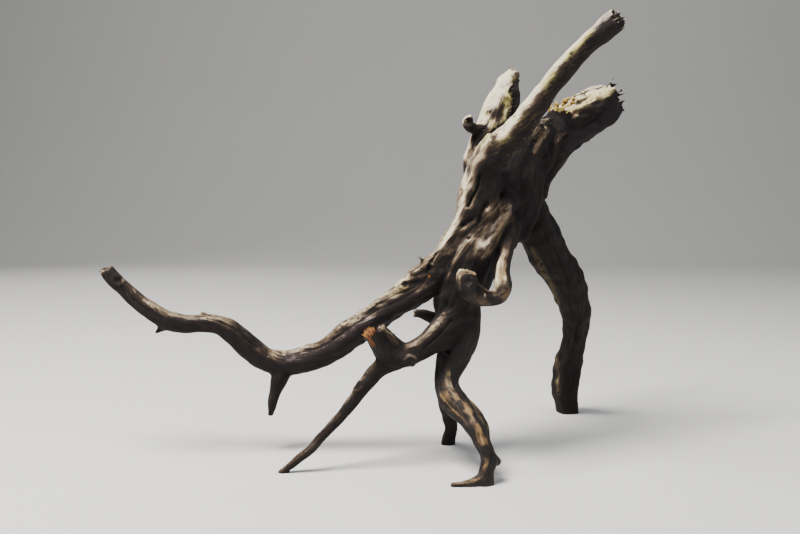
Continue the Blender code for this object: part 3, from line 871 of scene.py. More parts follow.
# The marks by kind: half width in mm, strength, and the pixels that the mark's line is seen at.
SEEN = {
    MarkKind.KNOT: (
        (3.0, 0.85, (118, 280)), (2.6, 0.7, (405, 284)), (3.0, 0.8, (346, 321)),
        (2.4, 0.7, (430, 268)), (2.6, 0.6, (357, 386)), (3.6, 0.7, (572, 250)),
        (2.6, 0.7, (449, 350)), (3.4, 1.1, (469, 281)), (3.0, 0.7, (411, 361)),
        (2.8, 1.0, (468, 122)),),
    MarkKind.GROOVE: (
        (0.9, 0.7, (207, 318), (223, 323), (236, 330), (250, 342), (266, 354), (285, 361)),
        (0.8, 0.5, (133, 299), (141, 305), (150, 311), (163, 318)),
        (0.9, 0.6, (296, 353), (318, 347), (340, 335), (360, 321), (378, 309)),
        (0.8, 0.6, (390, 305), (407, 297), (421, 285), (432, 270)),
        (1.1, 2.2, (480, 176), (478, 187), (472, 197), (468, 206)),
        (0.9, 1.2, (436, 254), (430, 262), (427, 272)),
        (1.5, 1.4, (487, 204), (482, 211), (479, 222)),
        (1.0, 0.6, (507, 206), (500, 214), (494, 222)),
        (0.8, 0.9, (462, 190), (460, 206), (452, 222), (441, 240)),
        (1.0, 1.0, (560, 215), (572, 240), (580, 268), (582, 300), (575, 340)),
        (1.0, 1.0, (545, 235), (558, 256), (568, 282), (573, 312)),
        (0.8, 0.9, (455, 385), (466, 398), (478, 416), (487, 436)),
        (0.8, 0.8, (452, 320), (438, 336), (424, 348)),
        (1.1, 2.4, (463, 225), (468, 221), (472, 219)),),
    MarkKind.RIDGE: (
        (2.2, 1.3, (502, 200), (495, 206), (488, 212)),
        (2.6, 1.4, (508, 214), (500, 228), (492, 238), (484, 248)),
        (1.5, 0.7, (284, 355), (303, 345), (320, 335), (345, 320)),
        (1.1, 1.2, (512, 85), (506, 92), (509, 99), (511, 104), (506, 112), (505, 121)),
        (1.6, 1.3, (604, 101), (592, 116), (577, 117), (568, 122)),
        (2.2, 0.8, (438, 252), (450, 236), (462, 220)),
        (1.9, 0.6, (461, 231), (468, 228), (475, 223)),
        (1.2, 0.8, (462, 289), (461, 278), (467, 272), (475, 275)),
        (1.2, 1.0, (476, 284), (482, 288), (489, 292)), (2.0, 1.0, (508, 288), (507, 280)),
        (1.5, 1.5, (484, 296)),),
    # Worn pale patches, and painted highlights on faces that the light catches: the spear's upper edge, the
    # chest, the splinter and ledge by the middle stump, the right leg's left edge, the front leg and its
    # right edge, the right stump's top and the hook's underside. Those of negative strength are grey patches.
    MarkKind.PALE: (
        (2.0, 0.3, (463, 230), (470, 227)),
        (1.2, 0.9, (462, 289), (461, 278), (467, 272), (475, 275)),
        (1.2, 1.0, (476, 284), (482, 288), (489, 292)),
        (4.4, 0.7, (470, 298), (490, 300), (505, 294)), (5.0, -0.7, (107, 268), (113, 275)),
        (3.0, -0.5, (160, 322), (200, 322), (232, 334)),
        (1.4, 0.9, (284, 352), (303, 344), (320, 334), (345, 318)),
        (10.0, -0.9, (600, 34), (610, 24), (618, 14)),
        (4.4, 0.5, (487, 158), (508, 133), (543, 88), (570, 57), (592, 34)),
        (6.0, 0.5, (490, 122), (493, 108), (500, 92), (508, 80), (513, 73)),
        (2.0, 1.2, (384, 329), (390, 336), (397, 343)),
        (3.6, 0.5, (441, 318), (430, 330), (418, 343), (408, 352)),
        (3.2, 2.2, (546, 129), (541, 138), (537, 150)), (3.0, 1.2, (554, 140), (566, 133)),
        (3.0, 0.6, (470, 205), (474, 190)), (5.0, 1.5, (484, 213), (496, 205), (509, 203)),
        (7.0, 2.0, (509, 216), (499, 228), (490, 240), (484, 249)),
        (5.0, 0.9, (465, 172), (464, 195), (456, 212), (444, 236)),
        (7.0, 0.8, (448, 244), (460, 240), (474, 234)), (6.0, 0.4, (400, 285), (414, 280)),
        (7.0, 0.8, (488, 226), (500, 214)), (2.0, 0.7, (528, 225), (540, 231)),
        (3.0, 0.5, (448, 372), (450, 384)), (1.2, 0.9, (446, 350)),
        (1.3, 1.2, (404, 359), (410, 356), (417, 359), (416, 364)),
        (3.0, 1.6, (507, 92), (509, 99), (506, 112), (503, 121)), (1.6, 1.5, (484, 296)),
        (4.0, 0.4, (442, 366), (451, 385), (464, 402), (476, 420), (485, 440)),
        (1.3, 1.2, (459, 380), (472, 396), (484, 414), (489, 430)),
        (7.0, -0.7, (285, 364), (320, 353), (352, 337), (385, 318), (412, 302)),
        (5.0, -0.6, (225, 338), (245, 354), (265, 364)),
        (3.4, 1.4, (531, 249), (537, 259), (550, 281), (559, 303)),
        (3.0, 1.1, (561, 330), (558, 360), (558, 392)),
        (6.0, 0.35, (575, 104), (588, 96), (602, 88)),),
    MarkKind.TAN: (
        (4.4, 0.5, (470, 299), (490, 301), (505, 295)), (5.0, 0.7, (465, 274), (471, 273)),
        (5.0, 0.6, (468, 279), (470, 286)), (4.0, 0.5, (506, 262), (503, 275), (506, 288)),
        (3.0, 1.0, (366, 377)), (2.0, 0.5, (323, 441), (312, 450)),
        (3.0, 0.9, (440, 390), (445, 396)), (2.2, 1.0, (456, 398), (463, 404), (468, 411)),
        (3.0, 0.9, (480, 427), (485, 440)), (4.0, 0.7, (486, 466)),),
    # Stains, and painted shade on faces in shadow: the left stump's right face, the right stump's underside,
    # the trunk under the spear and its lower face, the middle stump's underside and the notch by the curl.
    # The marks on the legs and twigs are stains.
    MarkKind.DARK: (
        (4.5, 1.8, (516, 88), (518, 96), (515, 105)),
        (8.0, 1.1, (618, 104), (604, 122), (588, 134), (568, 146)),
        (10.0, 0.7, (494, 172), (508, 182), (520, 196), (530, 214)),
        (7.0, 0.5, (452, 300), (458, 318)), (1.1, 1.4, (464, 224), (471, 219)),
        (2.6, 0.8, (469, 282)), (5.5, 1.6, (547, 117), (553, 119), (560, 124)),
        (2.0, 1.0, (494, 138)), (3.6, 0.9, (480, 136), (477, 143)), (1.5, 0.8, (571, 53)),
        (1.4, 0.9, (514, 117)), (1.8, 0.8, (411, 361)), (4.5, 0.3, (468, 280), (470, 286)),
        (3.0, 0.4, (466, 278), (474, 280)), (5.0, 0.7, (465, 274), (471, 273)),
        (1.6, 0.8, (377, 330), (381, 337)), (2.2, 0.9, (454, 378), (457, 384)),
        (2.0, 0.9, (462, 408), (460, 402)), (2.0, 1.0, (475, 415), (482, 425)),
        (3.4, 0.8, (486, 451)), (2.2, 0.8, (350, 404), (344, 411)), (2.0, 0.9, (360, 384)),
        (2.0, 0.6, (334, 424)),),
    MarkKind.FRESH: (
        (0.9, 0.9, (508, 217)), (0.9, 0.6, (502, 225)), (0.7, 0.7, (429, 276)),
        (1.7, 0.75, (366, 331), (369, 338), (373, 345)),),
    MarkKind.MOSS: (
        (4.0, 0.9, (524, 126), (532, 118)), (3.4, 1.0, (545, 86), (553, 75)),
        (2.6, 1.0, (568, 57), (575, 49)), (3.2, 1.0, (581, 43), (592, 33)),
        (3.0, 0.7, (497, 152), (510, 138)), (2.6, 0.9, (504, 104), (510, 97)),
        (2.0, 0.8, (512, 80), (517, 78)), (3.4, 0.7, (488, 139), (494, 128)),
        (6.0, 0.6, (575, 108), (590, 100), (604, 92), (615, 92)),
        (2.6, 0.9, (478, 182), (474, 195)), (2.6, 0.3, (450, 246), (441, 260)),
        (3.0, 0.9, (508, 225), (500, 240)), (4.0, 0.45, (398, 292), (411, 284)),
        (1.4, 2.0, (284, 352), (303, 344), (320, 334), (345, 318)),
        (2.2, 0.8, (446, 360), (450, 374)), (1.6, 0.7, (483, 421), (486, 430)),
        (2.6, 0.6, (531, 249), (537, 259), (550, 281), (559, 303)),
        (2.2, 0.5, (560, 330), (557, 360), (557, 392)),
        (3.0, 0.8, (507, 92), (509, 99), (506, 112), (503, 121)),
        (1.3, 1.4, (459, 380), (472, 396), (484, 414), (489, 430)),),
}
MARKS = tuple(Mark(kind, tuple(pixels), half_width, strength)
              for kind, rows in SEEN.items() for half_width, strength, *pixels in rows)


# What a soft-edged mark adds to.
SOFT_MARKS = {MarkKind.PALE: "bare", MarkKind.MOSS: "moss", MarkKind.TAN: "warm",
              MarkKind.DARK: "dark"}


@dataclass(frozen=True)
class Furrow:
    """Noise drawn out along the grain: spacing across and along it and depth in mm, and seed."""

    across: float
    along: float
    depth: float
    seed: int

    def noise(self, flow: np.ndarray) -> np.ndarray:
        """A number from about -1 to 1 for each place across, across and along the grain."""
        return GrainNoise(self.seed).at(flow / np.array((self.across, self.across, self.along)))

    def height(self, flow: np.ndarray) -> np.ndarray:
        """The noise times the depth."""
        return self.noise(flow) * self.depth


@dataclass
class RootWood:
    """The wood itself: every limb fused to one skin and furrowed along its grain.

    Lengths are in mm. The passes are how often a copy is smoothed to find the run of the skin, its
    small bulges and its broad hollows. The ranges are where a soft rise starts and ends.
    """

    voxel: float = FUSE_VOXEL
    soften_passes: int = 5
    coarse_passes: int = 6
    bulge_passes: int = 3
    broad_passes: int = 24
    light_passes: int = 2
    bulge_size: float = 0.12
    hollow_size: float = 0.9
    flute: Furrow = Furrow(9.5, 70.0, 0.7, 11)
    rib: Furrow = Furrow(4.2, 36.0, 0.42, 12)
    rib_crest: float = 0.62
    thread: Furrow = Furrow(2.2, 16.0, 0.42, 13)
    swell: Furrow = Furrow(27.0, 27.0, 1.7, 14)
    lump: Furrow = Furrow(9.0, 9.0, 1.0, 20)
    check: Furrow = Furrow(10.0, 85.0, 1.2, 15)
    check_zone: Furrow = Furrow(26.0, 90.0, 1.0, 16)
    check_range: tuple[float, float] = (0.12, 0.4)
    check_width: float = 0.045
    nick: Furrow = Furrow(3.0, 3.0, 0.8, 17)
    nick_range: tuple[float, float] = (0.56, 0.84)
    end_rag: Furrow = Furrow(2.2, 9.0, 1.5, 18)
    end_range: tuple[float, float] = (3.0, -0.5)
    mark_rag: Furrow = Furrow(4.0, 11.0, 0.5, 19)
    full_radius: float = 12.0
    girth_limits: tuple[float, float] = (0.3, 1.1)
    relief_limits: tuple[float, float] = (-3.2, 1.6)
    shade_limits: tuple[float, float] = (-1.0, 2.4)
    worn_limit: float = 1.5
    sole_height: float = 0.9
    shard_slimming: float = 0.62
    fresh_slimming: float = 0.55
    # Directions for the painted light, over a cap round the lean, and for the painted shade of the whole sky.
    painted_light_ways: int = 28
    painted_light_cap: float = math.radians(38)
    painted_shade_sky_ways: int = 60

    def __post_init__(self) -> None:
        """Lay out the limbs' lines and their grain."""
        self.routes = {limb.name: Route(limb) for limb in LIMBS}
        self.grain = Grain(list(self.routes.values()))
        self.eye = Eye()

    def spur(self, root: Triple, tip: Triple, radius: float, thin: np.ndarray) -> Shell:
        """A flattened cone from root to tip: its half width falls evenly to the tip's share.

        Args:
            root: the middle of its thick end.
            tip: the middle of its thin end.
            radius: the half width at the root.
            thin: the direction in which it is flattened.

        Returns:
            Its closed shell.
        """
        root, tip = np.array(root, dtype=float), np.array(tip, dtype=float)
        axis = unit(tip - root)
        wide = unit(np.cross(thin, axis))
        flat = np.cross(axis, wide)
        t = np.linspace(0, 1, SPUR_RINGS)[:, None, None]
        angles = np.linspace(0, FULL_TURN, SPUR_SIDES, endpoint=False)[None, :, None]
        width = radius * (1 - (1 - SPUR_TIP_SHARE) * t)
        rings = root + (tip - root) * t + width * (np.cos(angles) * wide
                                                   + SPUR_FLATNESS * np.sin(angles) * flat)
        return Shell.lofted(rings)

    def solids(self) -> Shell:
        """The limbs, the spurs and the big shards of the broken ends, each closed."""
        towards_back = np.array((0, 1, 0.1))
        shells = [route.skin() for route in self.routes.values()]
        for root, tip, radius in SPURS + FINE_SPURS:
            shells.append(self.spur(np.add(root, SURVEY_POINT), np.add(tip, SURVEY_POINT), radius,
                                    towards_back))
        for torn in BREAKS:
            for shard in big_shards(torn, self.routes[torn.limb]):
                fresh = torn.tear is Tear.FRESH
                slim = self.shard_slimming * (self.fresh_slimming if fresh else 1.0)
                shells.append(self.spur(shard.root, shard.tip, shard.width * slim, shard.outward))
        return Shell.joined(shells)

    def eggs(self) -> Shell:
        """The hollows' cutters: eggs that reach their radius past both end points.

        Their girth swells and shrinks three times round, and the lobes wind from pole to pole.
        """
        shells = []
        for start, stop, radius in PITS:
            axis = unit(np.subtract(stop, start))
            half = np.linalg.norm(np.subtract(stop, start)) / 2 + radius
            wide = unit(np.cross((0, 1, 0.1), axis))
            flat = np.cross(axis, wide)
            lift = np.linspace(-EGG_POLE, EGG_POLE, EGG_RINGS)[:, None, None]
            angles = np.linspace(0, FULL_TURN, EGG_SIDES, endpoint=False)[None, :, None]
            lobes = 1 + EGG_LOBES * np.sin(3 * angles + 4 * lift)
            girth = radius * np.sqrt(1 - lift ** 2) * lobes
            middle = np.add(start, stop) / 2 + SURVEY_POINT
            around = np.cos(angles) * wide + np.sin(angles) * flat
            shells.append(Shell.lofted(middle + lift * half * axis + girth * around))
        return Shell.joined(shells)

    def fused(self) -> Shell:
        """One even skin over all the solids, with the hollows cut out of it."""
        eggs = added("eggs", self.eggs().mesh("eggs"))
        wood = added("fusing", self.solids().mesh("fusing"))
        for name in ("fuse", "even"):
            remesh = wood.modifiers.new(name, "REMESH")
            remesh.mode = "VOXEL"
            remesh.voxel_size = self.voxel * MM
            if name == "fuse":
                carve = wood.modifiers.new("hollows", "BOOLEAN")
                carve.operation = "DIFFERENCE"
                carve.object = eggs
                carve.solver = "MANIFOLD"
        mesh = with_modifiers(wood)
        shell = shell_of(mesh)
        discard(eggs, wood)
        bpy.data.meshes.remove(mesh)
        keep = Net(shell).largest_body()
        number = np.cumsum(keep) - 1
        quads = shell.quads[keep[shell.quads[:, 0]]]
        return Shell(shell.points[keep], number[quads])

    def seen(self, wood: bpy.types.Object, pixels: Iterable[Pixel]) -> np.ndarray:
        """Where the sight lines of some pixels meet the wood, in mm, without those that miss."""
        landings = (self.landing(wood, pixel) for pixel in pixels)
        return np.array([landed[0] for landed in landings if landed is not None]).reshape(-1, 3)

    def landing(self, wood: bpy.types.Object, pixel: Pixel) -> tuple[np.ndarray, np.ndarray] | None:
        """Where a pixel's sight line meets the wood, in mm, and the normal there, or None."""
        stand = Vector(self.eye.stand) * MM
        hit, place, normal, _ = wood.ray_cast(stand, Vector(self.eye.ray(pixel)))
        return (np.array(place) / MM, np.array(normal)) if hit else None

    def mark_distances(self, shell: Shell) -> list[tuple[Mark, np.ndarray, np.ndarray]]:
        """Each mark with the points near it and their distances from its line.

        A point's distance is the least over short pieces of the line, where a piece's nearest place
        is the foot of the point's square to it, held between the piece's ends.
        """
        wood = added("sighted", shell.mesh("sighted"))
        bpy.context.view_layer.update()
        found = []
        for mark in MARKS:
            line = self.seen(wood, mark.pixels)
            if not len(line):
                log.warning("a %s misses the wood", mark.kind.name)
                continue
            reach = 4 * mark.half_width + 1
            low, high = line.min(axis=0) - reach, line.max(axis=0) + reach
            who = np.flatnonzero(((shell.points > low) & (shell.points < high)).all(axis=1))
            points = shell.points[who]
            distance = np.linalg.norm(points - line[0], axis=1)
            for start, stop in zip(line, line[1:]):
                way = stop - start
                t = np.clip((points - start) @ way / max(way @ way, 1e-6), 0, 1)
                distance = np.minimum(distance, np.linalg.norm(points - start - t[:, None] * way, axis=1))
            found.append((mark, who, distance))
        discard(wood)
        return found

    def relief(self, shell: Shell, places: dict[str, np.ndarray]) -> dict[str, np.ndarray]:
        """How far each point moves out, and what the marks and furrows do to its colour.

        The relief is the sum of broad flutes, sharp-crested ribs (one less twice the noise's size),
        threads, lumps, checks (deep narrow splits where a slow noise crosses nought), nicks and the
        marks, all smaller on slender limbs.

        Args:
            shell: the skin.
            places: what the grain gives each point.

        Returns:
            relief, crack, pale, warm, dark, fresh, bare and moss, a number a point.
        """
        flow = places["flow"]
        girth = np.clip(places["radius"] / self.full_radius, *self.girth_limits)
        scale = girth * places["rough"]
        rib = (self.rib_crest - 2 * np.abs(self.rib.noise(flow))) * self.rib.depth
        lump = self.swell.height(shell.points) + self.lump.height(shell.points)
        where = smooth_step(self.check_zone.noise(flow), *self.check_range)
        # The checks' share also darkens the finish: painted shade in the cracks.
        crack = (np.exp(-(self.check.noise(flow) / self.check_width) ** 2) * where
                 * np.clip(places["rough"], 0, 1))
        nick = smooth_step(self.nick.noise(shell.points), *self.nick_range)
        relief = scale * (self.flute.height(flow) + rib + self.thread.height(flow)) + girth * lump
        relief -= crack * self.check.depth * np.sqrt(scale) + nick * self.nick.depth * scale
        relief += smooth_step(places["to_end"], *self.end_range) * self.end_rag.height(flow)
        # The nicks start the dark share: painted shade in these small pits.
        result = {"relief": relief, "crack": crack, "pale": places["pale"].copy(),
                  "warm": places["warm"].copy(), "dark": 0.4 * nick}
        result |= {name: np.zeros(len(relief)) for name in ("fresh", "bare", "moss")}
        ragged = 1 + self.mark_rag.height(flow)
        for mark, who, distance in self.mark_distances(shell):
            away = distance / (mark.half_width * ragged[who])
            bell = np.exp(-away ** 2) * mark.strength
            soft = smooth_step(away, 1.3, 0.5) * mark.strength
            if mark.kind is MarkKind.KNOT:
                round_rim = np.exp(-((distance / mark.half_width - 1.3) / 0.45) ** 2)
                eye = np.exp(-(distance / (0.62 * mark.half_width)) ** 2)
                relief[who] += mark.strength * (0.7 * round_rim - 1.9 * eye)
                ring = np.exp(-(distance / (1.9 * mark.half_width)) ** 2)[:, None]
                rings = np.c_[distance * 1.5, np.zeros(len(who)), np.zeros(len(who))]
                flow[who] = flow[who] * (1 - ring) + (flow[who].mean(axis=0) + rings) * ring
                result["dark"][who] += mark.strength * eye
            elif mark.kind is MarkKind.GROOVE:
                relief[who] -= bell
                # A groove joins the cracks' share, which paints shade in it.
                crack[who] += 0.3 * np.minimum(bell, 1)
            elif mark.kind is MarkKind.RIDGE:
                relief[who] += bell
            elif mark.kind is MarkKind.FRESH:
                result["fresh"][who] = np.maximum(result["fresh"][who], soft)
            else:
                result[SOFT_MARKS[mark.kind]][who] += soft
            if mark.kind is MarkKind.TAN:
                result["bare"][who] += 0.25 * soft
        for torn in BREAKS:
            middle, radius, along, _, _ = self.routes[torn.limb].end_frame()
            away = shell.points - middle
            height = away @ along
            beside = np.linalg.norm(away - height[:, None] * along, axis=1)
            torn_share = (smooth_step(height, -3.5, 0.5)
                          * smooth_step(beside, 1.7 * radius, 1.2 * radius))
            result["fresh"] = np.maximum(result["fresh"], torn_share * torn.fresh)
            result["bare"] += 0.2 * torn_share * self.routes[torn.limb].limb.age.value[0]
        return result

    def build(self, material: bpy.types.Material) -> bpy.types.Object:
        """Fuse, furrow, thin and dress the wood.

        Args:
            material: its finish.

        Returns:
            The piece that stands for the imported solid.
        """
        shell = self.fused()
        net = Net(shell)
        shell.points = net.smooth(shell.points, self.soften_passes)
        coarse = normals_of(Shell(net.smooth(shell.points, self.coarse_passes), shell.quads))
        log.info("fused skin: %d points", len(shell.points))
        places = self.grain.places(shell.points)
        change = self.relief(shell, places)
        relief = np.clip(change["relief"], *self.relief_limits)
        moved = held_in_box(shell.points + coarse * relief[:, None])
        sole = shell.points[:, 2] < self.sole_height
        moved[sole | (moved[:, 2] < self.sole_height / 2), 2] = 0
        made = Shell(moved, shell.quads)
        bulge = np.einsum("ij,ij->i", moved - net.smooth(moved, self.bulge_passes), normals_of(made))
        broad = np.einsum("ij,ij->i", moved - net.smooth(moved, self.broad_passes), coarse)
        mesh = made.mesh("driftwood_wood")
        add_attribute(mesh, "flow", places["flow"])
        # Painted light and shade for the finish: how much light from the lean reaches each point, with the
        # wood's cast shadows, and how open each point is to the whole sky, whose lack is painted as shade.
        soft = normals_of(Shell(net.smooth(moved, self.light_passes), shell.quads))
        painted_lit, _ = PaintedLightAndShade().reach(moved, soft, self.painted_light_ways, self.painted_light_cap)
        touched, whole = PaintedLightAndShade().reach(moved, soft, self.painted_shade_sky_ways, math.pi)
        share = touched / np.maximum(whole, 1e-3)
        add_attribute(mesh, "sun", net.smooth(painted_lit, self.light_passes))
        add_attribute(mesh, "openness_for_painted_shade", net.smooth(share, self.light_passes))
        # wear marks the small bulges, worn paler; hollow marks the broad hollows, where the finish paints
        # shade.
        for name, height in (("wear", bulge / self.bulge_size), ("hollow", -broad / self.hollow_size)):
            add_attribute(mesh, name, np.clip(height, -self.worn_limit, self.worn_limit))
        for name in ("crack", "pale", "warm", "dark", "fresh", "bare", "moss"):
            add_attribute(mesh, name, np.clip(change[name], *self.shade_limits))
        piece = show("driftwood_wood", self.thinned(mesh), material)
        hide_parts(CAD_NODE)
        return piece

    def thinned(self, mesh: bpy.types.Mesh) -> bpy.types.Mesh:
        """The mesh with about SKIN_TRIANGLES triangles, most where the furrows are."""
        triangles = 2 * len(mesh.polygons)
        if triangles <= SKIN_TRIANGLES:
            return mesh
        carrier = added("thinning", mesh)
        thin = carrier.modifiers.new("thin", "DECIMATE")
        thin.ratio = SKIN_TRIANGLES / triangles
        result = with_modifiers(carrier)
        discard(carrier)
        return result


@dataclass(frozen=True)
class Shard:
    """A big shard of a broken end: root and tip in mm, half width, and the way it faces."""

    root: np.ndarray
    tip: np.ndarray
    width: float
    outward: np.ndarray


# Big shards: their width over their spacing, where they stand (shares of the end's radius), how
# they vary, and how deep they are rooted.
SHARD_WIDTH = 1.15
RING_SHARE = 0.72
INNER_SHARE = 0.3
INNER_LENGTH = 0.6
SHORTEST_SHARD = 0.25
SHARD_JITTER = 0.25
SHARD_SPLAY = (-0.25, 0.1)
SHARD_ROOT_SHARE = 0.5
SHARD_ROOT_DEPTH = 1.5
SHARD_SEED = 7


def big_shards(torn: Break, route: Route) -> list[Shard]:
    """A ring of shards round a limb's broken end and a few shorter ones inside it.

    Args:
        torn: the broken end.
        route: its limb's line.

    Returns:
        The shards.
    """
    draw = random.Random(SHARD_SEED + len(torn.limb) * torn.shards)
    end, radius, along, side, up = route.end_frame()
    width = SHARD_WIDTH * math.pi * radius / torn.shards
    depth = SHARD_ROOT_SHARE * radius + SHARD_ROOT_DEPTH
    inner = torn.shards // 2
    shards = []
    for index in range(torn.shards + inner):
        in_ring = index < torn.shards
        reach = radius * (RING_SHARE if in_ring else INNER_SHARE)
        angle = (FULL_TURN * index / (torn.shards if in_ring else inner)
                 + draw.uniform(-SHARD_JITTER, SHARD_JITTER))
        outward = math.cos(angle) * side + math.sin(angle) * up
        foot = end + outward * reach
        stand = torn.length * draw.uniform(SHORTEST_SHARD, 1.0) * (1.0 if in_ring else INNER_LENGTH)
        tip = foot + (along + outward * draw.uniform(*SHARD_SPLAY)) * stand
        shards.append(Shard(foot - along * depth, tip, width, outward))
    return shards


@dataclass
class Slivers:
    """Thin blades and hairs of wood, many in one piece.

    A blade's middle line bends evenly. Its half width swells from the root and falls to a point,
    and its section is a flattened polygon that twists along it. Lengths are in mm.
    """

    name: str
    rings: int = 7
    sides: int = 6
    roots: list[np.ndarray] = field(default_factory=list)
    ways: list[np.ndarray] = field(default_factory=list)
    faces: list[np.ndarray] = field(default_factory=list)
    sizes: list[tuple[float, float, float, float, float]] = field(default_factory=list)

    def add(self, root: np.ndarray, way: np.ndarray, facing: np.ndarray, length: float, width: float,
            thick: float, bend: float, twist: float) -> None:
        """Add one blade.

        Args:
            root: where it leaves the wood.
            way: the direction in which it leaves.
            facing: the direction that its flat side looks, and to which it bends.
            length: its length.
            width: its half width.
            thick: its half thickness.
            bend: how far it turns over its length, in radians.
            twist: how far its section turns over its length, in radians.
        """
        self.roots.append(np.asarray(root, dtype=float))
        self.ways.append(unit(np.asarray(way, dtype=float)))
        self.faces.append(np.asarray(facing, dtype=float))
        self.sizes.append((length, width, thick, bend, twist))

    def shell(self) -> Shell:
        """All the blades as closed skins.

        With t from 0 at the root to 1 at the tip, a blade that bends by b over a length l lies at
        l sin(bt)/b along its way and l (1 - cos(bt))/b towards its facing. Its half width is the
        given one times (0.8 + 0.5 t)(1 - t to the power 2.2), plus a hair's breadth at the tip.
        """
        root, way = np.array(self.roots)[:, None, None], np.array(self.ways)
        facing = np.array(self.faces)
        facing = unit(facing - np.einsum("ij,ij->i", facing, way)[:, None] * way)
        beside = np.cross(way, facing)[:, None, None]
        way, facing = way[:, None, None], facing[:, None, None]
        length, width, thick, bend, twist = (column[:, None, None, None] for column in np.array(self.sizes).T)
        bend = np.where(np.abs(bend) < 1e-3, 1e-3, bend)
        t = np.linspace(0, 1, self.rings)[None, :, None, None]
        angles = np.linspace(0, FULL_TURN, self.sides, endpoint=False)[None, None, :, None]
        middle = root + length / bend * (np.sin(bend * t) * way + (1 - np.cos(bend * t)) * facing)
        normal = np.cos(bend * t) * facing - np.sin(bend * t) * way
        taper = (0.8 + 0.5 * t) * (1 - t ** 2.2) + 0.06
        turn = twist * t
        flat = np.cos(turn) * beside + np.sin(turn) * normal
        edge = np.cos(turn) * normal - np.sin(turn) * beside
        rings = middle + taper * (width * np.cos(angles) * flat + thick * np.sin(angles) * edge)
        return Shell.lofted(rings)

    def build(self, material: bpy.types.Material) -> bpy.types.Object:
        """Make the piece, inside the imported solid's box, with its own run of grain.

        Args:
            material: its finish.

        Returns:
            The piece.
        """
        shell = self.shell()
        shell.points = held_in_box(shell.points)
        mesh = shell.mesh(self.name)
        each = len(shell.points) // len(self.roots)
        t = np.concatenate([np.repeat(np.linspace(0, 1, self.rings), self.sides), [0, 1]])
        turn = np.concatenate([np.tile(np.linspace(0, 1, self.sides, endpoint=False), self.rings), [0, 0]])
        shade = np.random.default_rng(len(self.roots)).uniform(size=len(self.roots))
        add_attribute(mesh, "along", np.tile(t, len(self.roots)))
        add_attribute(mesh, "shade", np.repeat(shade, each))
        length = np.repeat(np.array(self.sizes)[:, 0], each)
        add_attribute(mesh, "flow", np.c_[np.tile(turn, len(self.roots)) * 6, np.repeat(shade, each) * 90,
                                          np.tile(t, len(self.roots)) * length])
        return show(self.name, mesh, material)


class Socket:
    """A shader value that Python's operators work on: each one adds a Math node."""

    def __init__(self, shader: "Shader", link: bpy.types.NodeSocket) -> None:
        """Wrap an output of a node.

        Args:
            shader: the material's node maker.
            link: the output.
        """
        self.shader = shader
        self.link = link

    def _maths(self, operation: str, left: "Socket | float", right: "Socket | float") -> "Socket":
        """A Math node of two values."""
        return self.shader.node("ShaderNodeMath", {"operation": operation}, {0: left, 1: right})

    def __add__(self, other: "Socket | float") -> "Socket":
        """The sum."""
        return self._maths("ADD", self, other)

    __radd__ = __add__

    def __mul__(self, other: "Socket | float") -> "Socket":
        """The product."""
        return self._maths("MULTIPLY", self, other)

    __rmul__ = __mul__

    def __sub__(self, other: "Socket | float") -> "Socket":
        """The difference."""
        return self._maths("SUBTRACT", self, other)

    def __rsub__(self, other: float) -> "Socket":
        """The difference from a number."""
        return self._maths("SUBTRACT", other, self)

    def clamped(self) -> "Socket":
        """The value held between 0 and 1."""
        return self.shader.node("ShaderNodeClamp", {}, {"Value": self})

    def rise(self, low: float, high: float) -> "Socket":
        """A soft rise from 0 at low to 1 at high."""
        return self.shader.node("ShaderNodeMapRange", {"interpolation_type": "SMOOTHSTEP"},
                                {"Value": self, "From Min": low, "From Max": high})


Colour = tuple[float, float, float, float]


